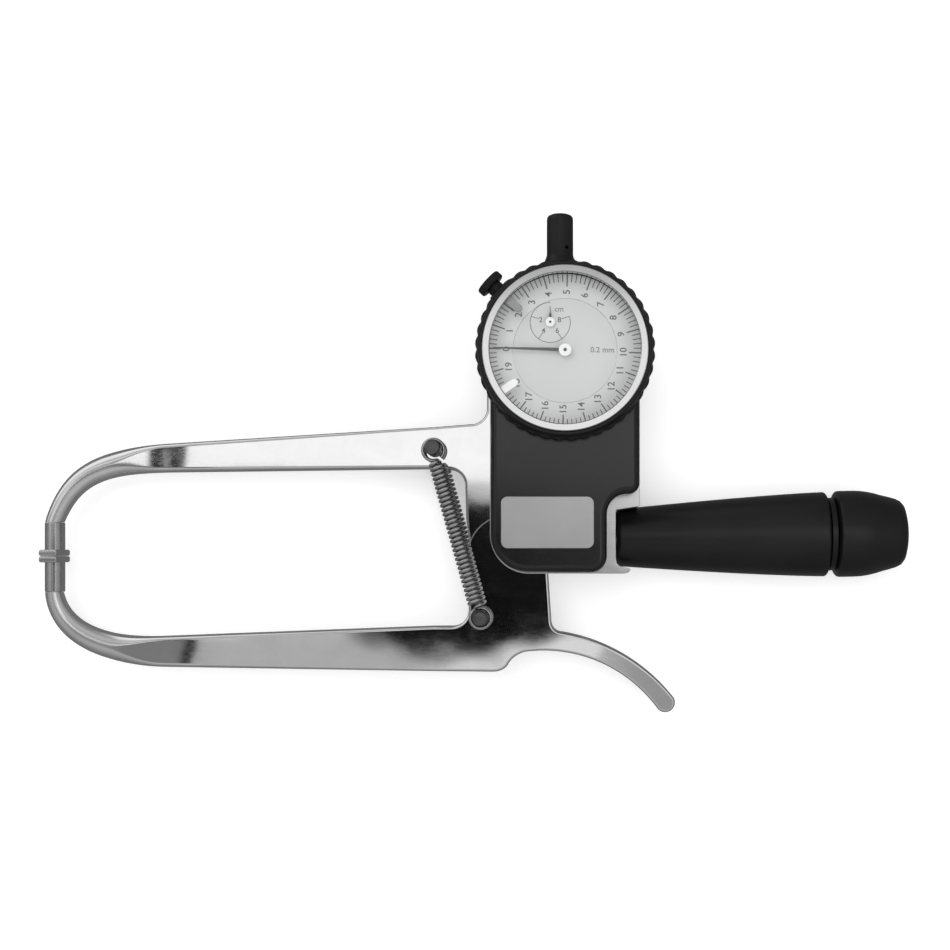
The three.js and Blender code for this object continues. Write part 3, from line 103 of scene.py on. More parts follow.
def new_object(name, data):
    made = bpy.data.objects.new(name, data)
    bpy.context.scene.collection.objects.link(made)
    return made


camera_data = bpy.data.cameras.new("camera")
camera_data.sensor_width = 36
camera_data.lens = 62.0
camera_data.shift_x = -82 / PHOTO_PIXELS
camera_data.shift_y = 76 / PHOTO_PIXELS
camera_data.clip_start = 0.01
camera_data.clip_end = 20
camera = new_object("camera", camera_data)
camera.location = CAMERA_PLACE * MM
bpy.context.scene.camera = camera
print("camera at", [round(c, 3) for c in camera.location], "lens", camera_data.lens)

# %% [markdown]
# ## Nodes by hand
# A finish, a sky and a glowing card are all networks of nodes. Each could be clicked
# together in the editor, but a small helper that adds a node, sets it and links it in one
# line is easier to read back, and the same helper then serves every network.

# %% Node helpers


def add_node(tree, kind, *sources, **values):
    """Adds a node. Sources go to its sockets in order, and values to what they name."""
    node = tree.nodes.new(kind)

    def feed(socket, source):
        if isinstance(source, bpy.types.NodeSocket):
            tree.links.new(source, socket)
        else:
            socket.default_value = source

    for key, value in values.items():
        if key in node.inputs:
            feed(node.inputs[key], value)
        else:
            setattr(node, key, value)
    for socket, source in zip(node.inputs, sources):
        if source is not None:
            feed(socket, source)
    return node


def math_node(tree, operation, *sources):
    return add_node(tree, "ShaderNodeMath", *sources, operation=operation).outputs[0]


def vector_node(tree, operation, *sources):
    return add_node(tree, "ShaderNodeVectorMath", *sources, operation=operation).outputs


def mix_numbers(tree, share, one, other):
    mix = add_node(tree, "ShaderNodeMix", share, None, one, other, data_type="FLOAT")
    return mix.outputs[0]


def map_range(tree, value, old, new, **more):
    """Brings a value from an old range to a new one."""
    limits = dict(zip(("From Min", "From Max", "To Min", "To Max"), (*old, *new)))
    return add_node(tree, "ShaderNodeMapRange", value, **limits, **more).outputs[0]


def ramp(tree, source, stops, interpolation="LINEAR"):
    """Grey shades for a value, from stops of (place, shade)."""
    node = add_node(tree, "ShaderNodeValToRGB", source)
    node.color_ramp.interpolation = interpolation
    elements = node.color_ramp.elements
    while len(elements) < len(stops):
        elements.new(0.5)
    for element, (place, shade) in zip(elements, stops):
        element.position = place
        element.color = (shade, shade, shade, 1)
    return node.outputs[0]


def object_place(tree):
    return add_node(tree, "ShaderNodeTexCoord").outputs["Object"]


def bare_material(name):
    """A material whose nodes are all still to come, and its tree."""
    material = bpy.data.materials.new(name)
    material.use_nodes = True
    material.node_tree.nodes.clear()
    return material, material.node_tree


# %% [markdown]
# ## The light
# A white tent is lit softly all round, with a brighter window at its left, so polished
# steel shows white with thin dark lines where it turns to the horizon. The world's colour
# is taken from the direction of the ray, but only reflections see it: the camera and the
# rays through glass see plain white, and every other ray gets an even light. Two broad
# lamps give the soft shadows. Small hard lamps would sparkle, but the steel in the
# photograph has calm, wide reflections.

# %% World
EVEN_LIGHT = 0.6
HORIZON_STOPS = [(0.0, 0.14), (0.25, 0.24), (0.6, 0.32), (0.86, 0.38), (0.95, 0.97)]
WINDOW_DIRECTION = (-0.65, 0.76, 0)
WINDOW_STOPS = [(0.6, 0.0), (0.92, 0.85)]
world = bpy.data.worlds.new("tent")
bpy.context.scene.world = world
world.use_nodes = True
sky = world.node_tree
sky.nodes.clear()


def light_rays(tree, names):
    """1 for the rays of the kinds that are named, and 0 for the rest."""
    path = add_node(tree, "ShaderNodeLightPath").outputs
    total = path[names[0]]
    for name in names[1:]:
        total = math_node(tree, "MAXIMUM", total, path[name])
    return total


direction = add_node(sky, "ShaderNodeTexCoord").outputs["Generated"]
heights = add_node(sky, "ShaderNodeSeparateXYZ", direction).outputs
horizon = ramp(sky, heights["Z"], HORIZON_STOPS)
# The window lights the outer side of the upper bend.
facing = vector_node(sky, "DOT_PRODUCT", direction, WINDOW_DIRECTION)["Value"]
window = ramp(sky, facing, WINDOW_STOPS, "EASE")
mirrored = math_node(sky, "MAXIMUM", horizon, window)
unmirrored = mix_numbers(sky, light_rays(sky, ["Is Glossy Ray"]), EVEN_LIGHT, mirrored)
sees_white = light_rays(sky, ["Is Camera Ray", "Is Transmission Ray"])
strength = mix_numbers(sky, sees_white, unmirrored, 1.0)
background = add_node(sky, "ShaderNodeBackground", Color=(1, 1, 1, 1), Strength=strength)
add_node(sky, "ShaderNodeOutputWorld", background.outputs[0])
print("sky:", len(sky.nodes), "nodes")

# %% Lamps
OBJECT_MIDDLE = Vector((-0.01, 0.03, 0))


def add_lamp(name, place, size, watts):
    """A round soft lamp, in metres, that gives light and shadow and isn't seen itself."""
    data = bpy.data.lights.new(name, "AREA")
    data.shape = "DISK"
    data.size = size
    data.energy = watts
    lamp = new_object(name, data)
    lamp.location = place
    lamp.rotation_euler = (OBJECT_MIDDLE - Vector(place)).to_track_quat("-Z", "Y").to_euler()
    lamp.visible_glossy = False
    lamp.visible_camera = False
    lamp.visible_transmission = False
    print("lamp", name, watts, "W")


add_lamp("key_lamp", (-0.25, 0.35, 1.1), 0.8, 4.5)
add_lamp("fill_lamp", (0.5, -0.3, 1.0), 0.9, 3.5)

# %% [markdown]
# ## The floor
# The floor is a pale sheet that glows just enough to show as white and still keeps the
# soft shadow under the object. A plain white floor would come out grey at its edges, and a
# brighter one would swallow the shadow. The glow shows only to the camera, in reflections
# and through glass, so it casts no light on the object.

# %% Floor
FLOOR_SHADE = 0.8
FLOOR_GLOW = 0.42
FLOOR_DEPTH = -0.2
FLOOR_HALF_SIZE = 4000
stage_names = []


def mesh_from(bm, name):
    mesh = bpy.data.meshes.new(name)
    bm.to_mesh(mesh)
    bm.free()
    return mesh


def stage_object(name, half_size, material, place):
    """A flat sheet, placed in mm, that is part of the scene and not of the caliper."""
    bm = bmesh.new()
    bmesh.ops.create_grid(bm, x_segments=1, y_segments=1, size=1.0)
    bmesh.ops.scale(bm, verts=bm.verts, vec=(half_size[0] * MM, half_size[1] * MM, 1))
    made = new_object(name, mesh_from(bm, name))
    made.data.materials.append(material)
    made.location = Vector(place) * MM
    stage_names.append(name)
    return made


floor_paint, tree = bare_material("pale_floor")
white_rays = light_rays(tree, ["Is Camera Ray", "Is Glossy Ray", "Is Transmission Ray"])
glow = add_node(
    tree, "ShaderNodeEmission", Strength=math_node(tree, "MULTIPLY", white_rays, FLOOR_GLOW)
)
matte = add_node(tree, "ShaderNodeBsdfDiffuse", Color=(FLOOR_SHADE, FLOOR_SHADE, FLOOR_SHADE, 1))
both = add_node(tree, "ShaderNodeAddShader", matte.outputs[0], glow.outputs[0])
# From below the floor is clear, so that the caliper's back can be looked at too.
below = add_node(tree, "ShaderNodeNewGeometry").outputs["Backfacing"]
clear = add_node(tree, "ShaderNodeBsdfTransparent")
seen = add_node(tree, "ShaderNodeMixShader", below, both.outputs[0], clear.outputs[0])
add_node(tree, "ShaderNodeOutputMaterial", seen.outputs[0])
stage_object("floor", (FLOOR_HALF_SIZE, FLOOR_HALF_SIZE), floor_paint, (0, 0, FLOOR_DEPTH))
print("floor at", FLOOR_DEPTH, "mm")

# %% [markdown]
# ## The cards
# Cards hang at the camera's height, where only reflections show them. A near black one
# stands for the camera, which the polished hub mirrors. Grey ones tone the arms and their
# bends, two narrow ones are seams of the tent, and one on the table darkens the rounded
# edges. A nearer card hides a farther one, so each has a height of its own. Painting these
# patches into the steel would leave them stuck there when seen from another side.

# %% Cards


def card_paint(name, shade, half_size, soft, oval):
    """Glowing card whose edge fades out over the last part, soft, of its half size."""
    paint, tree = bare_material(name)
    size = (half_size[0] * MM, half_size[1] * MM, 1)
    share = vector_node(tree, "DIVIDE", object_place(tree), size)[0]
    if oval:
        reach = vector_node(tree, "LENGTH", share)["Value"]
    else:
        plain = vector_node(tree, "ABSOLUTE", share)[0]
        sides = add_node(tree, "ShaderNodeSeparateXYZ", plain).outputs
        reach = math_node(tree, "MAXIMUM", sides["X"], sides["Y"])
    fade = ramp(tree, reach, [(1 - soft, 1.0), (1.0, 0.0)], "EASE")
    glow = add_node(tree, "ShaderNodeEmission", Color=(shade, shade, shade, 1), Strength=1.0)
    clear = add_node(tree, "ShaderNodeBsdfTransparent")
    mix = add_node(tree, "ShaderNodeMixShader", fade, clear.outputs[0], glow.outputs[0])
    add_node(tree, "ShaderNodeOutputMaterial", mix.outputs[0])
    return paint


def add_card(name, shade, centre, half_size, soft=0.1, oval=False):
    card = stage_object(name, half_size, card_paint(name, shade, half_size, soft, oval), centre)
    card.visible_camera = False
    card.visible_diffuse = False
    card.visible_shadow = False
    card.visible_transmission = False


add_card("camera_card", 0.004, (-50, -13, 556), (117, 61), 0.26, True)
add_card("bright_spot", 0.72, (10, -62, 557), (40, 30), 0.25, True)
add_card("heel_card", 0.66, (-24, -94, 557.5), (78, 26), 0.35, True)
add_card("tip_card", 0.30, (115, -95, 558), (85, 75), 0.5, True)
add_card("notch_card", 0.25, (56, -3, 559), (36, 50), 0.5, True)
add_card("seam_card", 0.004, (-264, 92, 560), (12, 66), 0.3)
add_card("lower_seam_card", 0.01, (-243, -80, 561), (7, 76), 0.3)
add_card("bend_card", 0.19, (-336, -100, 562), (96, 110), 0.1)
add_card("gap_card", 0.24, (-262, 2, 563), (158, 50), 0.15)
add_card("upper_gap_card", 0.30, (-300, 176, 563), (185, 66), 0.15)
add_card("front_card", 0.42, (-60, -345, 565), (290, 305), 0.05)
add_card("left_card", 0.66, (-586, 220, 572), (258, 200), 0.1)
add_card("low_left_card", 0.34, (-586, -150, 573), (258, 190), 0.1)
add_card("back_card", 0.42, (-60, 435, 574), (420, 285), 0.1)
add_card("table_card", 0.16, (0, 0, -0.1), (1500, 1500), 0.3)
print("stage:", ", ".join(stage_names))

# %% [markdown]
# ## Detail shared by the finishes
# Handled metal and moulded plastic are never even: they carry faint smudges, fine grain
# and hair scratches. One node group makes all three from noise in the object's own metres,
# so every finish gets the same kinds of detail at its own size. Image maps would do it
# too, but noise needs no files and no unwrapping.

# %% The surface detail group
detail_group = bpy.data.node_groups.new("surface_detail", "ShaderNodeTree")
for socket_name, kind, start in (
    ("Grain Size", "NodeSocketFloat", 0.4),
    ("Smudge Size", "NodeSocketFloat", 12.0),
    ("Stretch", "NodeSocketVector", (1, 1, 1)),
):
    made = detail_group.interface.new_socket(socket_name, in_out="INPUT", socket_type=kind)
    made.default_value = start
for socket_name in ("Grain", "Smudge", "Scratches"):
    detail_group.interface.new_socket(
        socket_name, in_out="OUTPUT", socket_type="NodeSocketFloat"
    )
SCRATCH_TURN = 0.5
SCRATCHES_PER_METRE = (180, 4200, 900)


def noise(vector, **values):
    made = add_node(detail_group, "ShaderNodeTexNoise", Vector=vector, **values)
    return made.outputs["Fac"]


def per_metre(size):
    """A feature's size in millimetres as a noise scale per metre."""
    return math_node(detail_group, "DIVIDE", 1 / MM, size)


given = add_node(detail_group, "NodeGroupInput").outputs
place = object_place(detail_group)
stretched = vector_node(detail_group, "MULTIPLY", place, given["Stretch"])[0]
grain_noise = noise(
    stretched, Scale=per_metre(given["Grain Size"]), Detail=4.0, Roughness=0.6
)
smudge_noise = noise(
    place, Scale=per_metre(given["Smudge Size"]), Detail=5.0, Roughness=0.55, Distortion=0.6
)
scratch_map = add_node(
    detail_group,
    "ShaderNodeMapping",
    Vector=place,
    Rotation=(0, 0, SCRATCH_TURN),
    Scale=SCRATCHES_PER_METRE,
)
scratch_noise = noise(scratch_map.outputs[0], Scale=1.0, Detail=2.0)
scratch_lines = ramp(detail_group, scratch_noise, [(0.66, 0.0), (0.7, 1.0)])
add_node(detail_group, "NodeGroupOutput", grain_noise, smudge_noise, scratch_lines)
print("group surface_detail:", len(detail_group.nodes), "nodes")

# %% [markdown]
# ## A finish
# Each finish has two shades that the smudges blend, a band of roughness, and a bump from
# the grain. Plain metal and plastic differ only in these values, so one helper builds them.
# Numbers that are the same all over go straight on the shader, where an export can read
# them. Base colour, roughness and normal vary, so they are linked.

# %% A finish
NOISE_SPREAD = (0.3, 0.7)


def make_finish(
    name,
    shades,
    metal=0.0,
    rough=(0.3, 0.4),
    grain=0.4,
    smudge=12.0,
    stretch=(1, 1, 1),
    bump=0.1,
    depth=0.02,
    scratches=0.0,
    specular=0.5,
    warmth=(1.0, 1.0, 1.0),
):
    """A metal or a plastic; the sizes of grain and smudges and the relief's depth are mm."""
    material = bpy.data.materials.new(name)
    material.use_nodes = True
    tree = material.node_tree
    shader = tree.nodes["Principled BSDF"].inputs
    shader["Metallic"].default_value = metal
    shader["Specular IOR Level"].default_value = specular
    detail_node = add_node(tree, "ShaderNodeGroup", node_tree=detail_group)
    for socket, value in zip(detail_node.inputs, (grain, smudge, stretch)):
        socket.default_value = value
    detail = detail_node.outputs
    blend = ramp(tree, detail["Smudge"], list(zip(NOISE_SPREAD, (0.0, 1.0))))
    colour = add_node(tree, "ShaderNodeMix", blend, data_type="RGBA")
    for socket, shade in zip(colour.inputs[6:8], shades):
        socket.default_value = (*[shade * w for w in warmth], 1)
    tree.links.new(colour.outputs[2], shader["Base Color"])
    uneven = mix_numbers(tree, 0.5, detail["Grain"], detail["Smudge"])
    tree.links.new(map_range(tree, uneven, NOISE_SPREAD, rough), shader["Roughness"])
    height = math_node(tree, "MULTIPLY_ADD", detail["Scratches"], -scratches, detail["Grain"])
    relief = add_node(
        tree, "ShaderNodeBump", Strength=bump, Distance=depth * MM, Height=height
    )
    tree.links.new(relief.outputs[0], shader["Normal"])
    return material


# %% [markdown]
# ## Metals
# The frame and the lower arm are forged steel, polished by hand: nearly a mirror, but
# slightly wavy on the flats and softer in the bends. A perfect mirror would take fewer
# nodes and look like painted chrome. The other metals differ in how they were worked, so
# the label is brushed one way, the jaws are blasted and the studs are blackened.

# %% Polished steel
BEND_X = (-0.120, -0.134)
BEND_ROUGHNESS = 0.14
WAVES_PER_METRE, WAVE_HEIGHT = 42.0, 0.16 * MM
polished_steel = make_finish(
    "polished_steel", (0.9, 0.97), metal=1.0, rough=(0.03, 0.08), grain=0.6, smudge=9,
    stretch=(0.3, 1, 1), bump=0.04, depth=0.01, scratches=0.2
)
tree = polished_steel.node_tree
shader = tree.nodes["Principled BSDF"].inputs
spot = object_place(tree)
# The buffing wheel leaves the bends softer than the flats, so they get more roughness.
along = add_node(tree, "ShaderNodeSeparateXYZ", spot).outputs["X"]
bends = map_range(tree, along, BEND_X, (0, BEND_ROUGHNESS), interpolation_type="SMOOTHSTEP")
even = shader["Roughness"].links[0].from_socket
tree.links.new(math_node(tree, "ADD", even, bends), shader["Roughness"])
# Polishing by hand leaves the flats a little wavy, so reflections in them wander.
wander = add_node(tree, "ShaderNodeTexNoise", Vector=spot, Scale=WAVES_PER_METRE, Detail=1.0)
waves = add_node(
    tree, "ShaderNodeBump", Strength=1.0, Distance=WAVE_HEIGHT, Height=wander.outputs["Fac"]
)
fine_relief = shader["Normal"].links[0].from_node
tree.links.new(waves.outputs[0], fine_relief.inputs["Normal"])
print("polished_steel:", len(tree.nodes), "nodes")

# %% Other metals
BRUSHED_X = (0.04, 1, 1)
plate_steel = make_finish(
    "plate_steel", (0.72, 0.82), metal=1.0, rough=(0.16, 0.26), grain=0.3, smudge=8,
    stretch=BRUSHED_X, bump=0.15, depth=0.01, scratches=0.2
)
label_steel = make_finish(
    "brushed_label", (0.6, 0.7), metal=1.0, rough=(0.28, 0.4), grain=0.16, smudge=40,
    stretch=(0.03, 1, 1), bump=0.6
)
jaw_steel = make_finish(
    "blasted_jaw", (0.68, 0.8), metal=1.0, rough=(0.13, 0.22), grain=0.3, smudge=5,
    stretch=(1, 0.3, 1), scratches=0.2
)
spring_steel = make_finish(
    "spring_wire", (0.52, 0.62), metal=1.0, rough=(0.18, 0.3), grain=0.25, smudge=4, bump=0.2
)
dark_steel = make_finish(
    "blackened_steel", (0.13, 0.2), metal=1.0, rough=(0.3, 0.45), grain=0.3, smudge=3, bump=0.3,
    scratches=0.3
)
pin_steel = make_finish(
    "ground_steel", (0.52, 0.62), metal=1.0, rough=(0.16, 0.26), grain=0.2, smudge=4,
    stretch=(1, 1, 0.05), bump=0.2, depth=0.01
)
brass = make_finish(
    "turned_brass", (0.5, 0.62), metal=1.0, rough=(0.2, 0.32), grain=0.2, smudge=4, bump=0.2,
    depth=0.01, warmth=(1.0, 0.78, 0.42)
)
ring_silver = make_finish(
    "silver_ring", (0.76, 0.82), metal=1.0, rough=(0.1, 0.16), grain=0.2, smudge=16, bump=0.01,
    depth=0.003
)
print("metals:", len(bpy.data.materials) - len(stage_names))

# %% [markdown]
# ## Plastics, paints and glass
# The covers and the gauge are moulded black plastic and the handle is a rougher one. The
# dial is silver paint under clear plastic, with printed ink, and its scale ring is a little
# lighter as painted light against the shade of the bezel's well. The two markers are alike,
# but one is painted white as a painted highlight and the other grey as painted shade.
# The black could be one material, but the photograph shows three different sheens.

# %% Plastics, paints and glass


def dial_paint(name, shades):
    return make_finish(
        name, shades, rough=(0.55, 0.68), grain=0.16, smudge=20, stretch=(0.15, 1, 1), bump=0.12,
        depth=0.01
    )


def printed_ink(name, shades):
    return make_finish(
        name, shades, rough=(0.5, 0.6), grain=0.12, smudge=3, bump=0.05, depth=0.005
    )


def enamel(name, shades):
    return make_finish(
        name, shades, rough=(0.35, 0.45), grain=0.3, smudge=4, bump=0.08, depth=0.01
    )


moulded_black = make_finish(
    "moulded_black", (0.003, 0.006), rough=(0.13, 0.22), grain=0.22, smudge=14, bump=0.25,
    depth=0.03, scratches=0.1, specular=0.65
)
handle_black = make_finish(
    "handle_black", (0.003, 0.006), rough=(0.28, 0.4), grain=0.5, smudge=18, bump=0.2, depth=0.03,
    scratches=0.3, specular=0.42
)
bezel_black = make_finish(
    "bezel_black", (0.006, 0.01), rough=(0.28, 0.4), grain=0.25, smudge=10, bump=0.25, depth=0.03,
    scratches=0.1, specular=0.32
)
hand_black = make_finish(
    "hand_black", (0.03, 0.045), rough=(0.35, 0.45), grain=0.2, smudge=2, depth=0.01
)
dial_silver = dial_paint("dial_silver", (0.585, 0.625))
# Painted light: the scale ring's silver is a little lighter than the middle's, to offset the shade
# of the bezel's well.
scale_silver_painted_lighter = dial_paint("scale_silver_painted_lighter", (0.62, 0.66))
ink = printed_ink("dial_ink", (0.08, 0.11))
pale_ink = printed_ink("pale_ink", (0.16, 0.22))
# Painted light on the markers: the white tab's white is a painted highlight and the grey tab's grey
# is painted shade. The white also serves the hands' bosses.
white_enamel_and_painted_highlight = enamel("white_enamel_and_painted_highlight", (0.80, 0.88))
grey_painted_shade = enamel("grey_painted_shade", (0.24, 0.30))
crystal_glass = bpy.data.materials.new("crystal_glass")
crystal_glass.use_nodes = True
glass = crystal_glass.node_tree.nodes["Principled BSDF"].inputs
glass["Base Color"].default_value = (0.98, 0.99, 0.985, 1)
glass["Transmission Weight"].default_value = 1.0
glass["Roughness"].default_value = 0.02
glass["IOR"].default_value = 1.49
print("finishes:", len(bpy.data.materials) - len(stage_names))

# %% [markdown]
# ## Tools of the workshop
# Turned parts are spun from a profile, as on a lathe. Plates are traced as a line with
# true arcs, filled and raised. Sharp edges are then rounded, holes are cut with a boolean,
# and the mesh is scaled to metres. Primitive cylinders with a bevel would be quicker, but
# they can't follow a profile with a flare or a groove.

# %% Turning, tracing and raising
MERGE = 0.0005
RIM_MERGE = 0.01
BEND_POINTS = 9


def close_skin(bm):
    bmesh.ops.remove_doubles(bm, verts=bm.verts, dist=MERGE)
    bmesh.ops.recalc_face_normals(bm, faces=bm.faces)
    return bm


def spun(bm, geom, centre, angle, steps, merge=False):
    """Turns geometry about an upright axis and gives back what ends the sweep."""
    swept = bmesh.ops.spin(
        bm,
        geom=geom,
        cent=(*centre, 0),
        axis=(0, 0, 1),
        dvec=(0, 0, 0),
        angle=angle,
        steps=steps,
        use_merge=merge,
        use_normal_flip=False,
        use_duplicate=False,
    )
    return swept["geom_last"]


def turned(profile, steps=96, ring=False):
    """A solid turned about Z from (radius, height) points; a ring's profile closes."""
    bm = bmesh.new()
    points = [bm.verts.new((radius, 0, height)) for radius, height in profile]
    pairs = list(zip(points, points[1:]))
    if ring:
        pairs.append((points[-1], points[0]))
    for pair in pairs:
        bm.edges.new(pair)
    spun(bm, bm.verts[:] + bm.edges[:], (0, 0), math.tau, steps, merge=True)
    return close_skin(bm)


def only_verts(geom):
    return [v for v in geom if isinstance(v, bmesh.types.BMVert)]


def traced(start, moves, step=5.0):
    """A flat face whose rim is lines (x, y), arcs (centre x, centre y, degrees) and bends."""
    bm = bmesh.new()
    pen = first = bm.verts.new((*start, 0))
    for move in moves:
        if len(move) == 3:
            *centre, degrees = move
            steps = max(2, math.ceil(abs(degrees) / step))
            pen = only_verts(spun(bm, [pen], centre, math.radians(degrees), steps))[0]
            continue
        places = [Vector((*move, 0))]
        if len(move) == 4:
            old = pen.co.copy()
            handle = Vector((*move[:2], 0))
            end = Vector((*move[2:], 0))
            near, far = old.lerp(handle, 2 / 3), end.lerp(handle, 2 / 3)
            places = interpolate_bezier(old, near, far, end, BEND_POINTS)[1:]
        for place in places:
            following = bm.verts.new(place)
            bm.edges.new((pen, following))
            pen = following
    bm.edges.new((pen, first))
    bmesh.ops.remove_doubles(bm, verts=bm.verts, dist=RIM_MERGE)
    bmesh.ops.contextual_create(bm, geom=bm.edges[:])
    return bm


def raised(bm, low, high):
    """A flat face lifted into a plate between two heights."""
    lifted = bmesh.ops.extrude_face_region(bm, geom=bm.faces[:])
    bmesh.ops.translate(bm, verts=only_verts(lifted["geom"]), vec=(0, 0, high - low))
    bmesh.ops.translate(bm, verts=bm.verts, vec=(0, 0, low))
    return close_skin(bm)


print("tools: turned, traced, raised")

# %% Rounding, blocks, rods and moves
SHARP = 50
LEVEL = 0.02


def rounded(bm, width, segments=3, angle=SHARP, keep=None):
    """Rounds the edges that turn more than an angle, or those of them that keep() picks."""
    sharp = [
        e
        for e in bm.edges
        if len(e.link_faces) == 2
        and e.calc_face_angle() > math.radians(angle)
        and (keep is None or keep(e))
    ]
    bmesh.ops.bevel(
        bm,
        geom=sharp,
        offset=width,
        offset_type="OFFSET",
        segments=segments,
        profile=0.5,
        affect="EDGES",
        material=-1,
        clamp_overlap=True,
    )
    return bm


def edge_at(height):
    """Picks the edges that lie flat at a height."""
    return lambda e: all(abs(v.co.z - height) < LEVEL for v in e.verts)


def block(x, y, z):
    bm = bmesh.new()
    bmesh.ops.create_cube(bm, size=1.0)
    bmesh.ops.scale(bm, verts=bm.verts, vec=(x[1] - x[0], y[1] - y[0], z[1] - z[0]))
    middle = ((x[0] + x[1]) / 2, (y[0] + y[1]) / 2, (z[0] + z[1]) / 2)
    bmesh.ops.translate(bm, verts=bm.verts, vec=middle)
    return bm


def rod(radius, low, high, place=(0, 0), steps=48):
    bm = turned([(0, low), (radius, low), (radius, high), (0, high)], steps)
    return moved(bm, shift((place[0], place[1], 0)))


def hole(radius, place=(0, 0), low=0, high=ABOVE, steps=48):
    """A rod to cut with; unless it is told otherwise, it cuts right through."""
    return rod(radius, low, high, place, steps)


def moved(bm, matrix):
    bmesh.ops.transform(bm, matrix=matrix, verts=bm.verts)
    return bm


def turn(degrees, axis="Z"):
    return Matrix.Rotation(math.radians(degrees), 4, axis)


def shift(place):
    return Matrix.Translation(place)


def on_dial(bm):
    """Moves a mesh that was made round the origin to the dial's centre."""
    return moved(bm, shift(DIAL_CENTRE))


def polar(radius, degrees):
    return (radius * math.cos(math.radians(degrees)), radius * math.sin(math.radians(degrees)))


print("tools: rounded, block, rod, hole, moves")

# %% [markdown]
# ## Cutting and joining
# A boolean modifier joins castings and drills holes as a machinist would. It works on two
# objects, so the helper makes short-lived ones and reads the finished mesh back. Editing
# the faces round each hole by hand gives neater meshes, but these parts have dozens.

# %% Booleans and finished pieces


def mesh_of(made):
    """An object's finished mesh, with what its modifiers or its curve make."""
    done = made.evaluated_get(bpy.context.evaluated_depsgraph_get())
    bm = bmesh.new()
    bm.from_mesh(done.to_mesh())
    done.to_mesh_clear()
    return bm


def boolean(bm, tools, operation="DIFFERENCE"):
    body = new_object("work", mesh_from(bm, "work"))
    cutters = [new_object("tool", mesh_from(tool, "tool")) for tool in tools]
    for cutter in cutters:
        modifier = body.modifiers.new("cut", "BOOLEAN")
        modifier.operation = operation
        modifier.solver = "EXACT"
        modifier.object = cutter
    result = mesh_of(body)
    for made in [body, *cutters]:
        mesh = made.data
        bpy.data.objects.remove(made)
        bpy.data.meshes.remove(mesh)
    bmesh.ops.remove_doubles(result, verts=result.verts, dist=MERGE)
    return result


def from_curve(curve):
    """A curve's or a text's mesh; the curve itself is thrown away."""
    holder = new_object(curve.name, curve)
    bm = mesh_of(holder)
    bpy.data.objects.remove(holder)
    bpy.data.curves.remove(curve)
    return close_skin(bm)


def merged(parts):
    """Several meshes in one, for things such as printed marks that never touch."""
    whole = bmesh.new()
    for part in parts:
        mesh = mesh_from(part, "part")
        whole.from_mesh(mesh)
        bpy.data.meshes.remove(mesh)
    return whole


piece_faces = {}


def piece(name, bm, finish, body, nodes=(), smooth=32):
    """A finished mesh in metres that rides on a body and may stand for CAD nodes."""
    bmesh.ops.scale(bm, verts=bm.verts, vec=(MM, MM, MM))
    mesh = mesh_from(bm, name)
    mesh.shade_smooth()
    mesh.set_sharp_from_angle(angle=math.radians(smooth))
    mesh.materials.append(finish)
    made = new_object(name, mesh)
    if smooth < 60:
        made.modifiers.new("flat_faces_stay_flat", "WEIGHTED_NORMAL").keep_sharp = True
    if body:
        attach(made, body)
    if nodes:
        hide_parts(*nodes)
    piece_faces[name] = len(mesh.polygons)
    print(name, "has", piece_faces[name], "faces")
    return made


# %% [markdown]
# ## The arms
# Each arm is a bar that starts round at its jaw and becomes flat and wide towards the
# pivot. Cross-sections are set along a bend and joined in order, which is called a loft.
# A curve with a bevel shape would sweep one section only, and here the section changes.

# %% One cross-section of an arm
CORNER_SEGMENTS = 9
# Just under half, so that the rounded corners of an ellipse never meet.
NEARLY_HALF = 0.495


def cross_section(bm, place, along, width, thickness, corner, oval=0.0):
    """One rounded ring of edges square to the direction along; oval 1 makes it an ellipse."""
    plate = bmesh.ops.create_grid(bm, x_segments=1, y_segments=1, size=0.5)["verts"]
    start = width + (thickness - width) * oval
    bmesh.ops.scale(bm, verts=plate, vec=(start, thickness, 1))
    before = set(bm.verts) - set(plate)
    bmesh.ops.bevel(
        bm,
        geom=plate,
        offset=corner + (NEARLY_HALF * thickness - corner) * oval,
        offset_type="OFFSET",
        segments=CORNER_SEGMENTS,
        profile=0.5,
        affect="VERTICES",
        material=-1,
        clamp_overlap=False,
    )
    ring = [v for v in bm.verts if v not in before]
    bmesh.ops.scale(bm, verts=ring, vec=(width / start, 1, 1))
    up = Vector((0, 0, 1))
    across = Vector((-along.y, along.x, 0)).normalized()
    axes = Matrix((across, up, across.cross(up))).transposed()
    bmesh.ops.transform(bm, matrix=shift(place) @ axes.to_4x4(), verts=ring)
    faces = [f for f in bm.faces if f.verts[0] in set(ring)]
    edges = [e for f in faces for e in f.edges]
    bmesh.ops.delete(bm, geom=faces, context="FACES_ONLY")
    return edges


# How far before the end of the bend the arm starts to flatten, and over what length.
FLATTENS_BEFORE, FLATTENS_OVER = 16, 15


def flattening(travel):
    """1 where the arm is round, 0 where it is flat; travel is mm past the end of the bend."""
    share = min(max((travel + FLATTENS_BEFORE) / FLATTENS_OVER, 0.0), 1.0)
    return 1 - share * share * (3 - 2 * share)


print("arms are round until", FLATTENS_BEFORE, "mm before the end of the bend")

# %% The loft
TIP_SIZE = 6
BEND_THICKNESS = 8
BEND_RINGS = 45
TIP_CORNER, ROOT_CORNER = 1.5, 0.9
TIP_MIDDLE, TIP_DIFFERENCE = 11.5, 0.4
ROOT_OVERLAP = 3
SPIGOT, SPIGOT_START, SPIGOT_END = 1.7, 4.9, 12.0
# Where the rings lie along the straight bar: closer together where the section changes.
BAR_SHARES = (0.015, 0.03, 0.045, 0.06, 0.08, *[i / 10 for i in range(1, 11)])


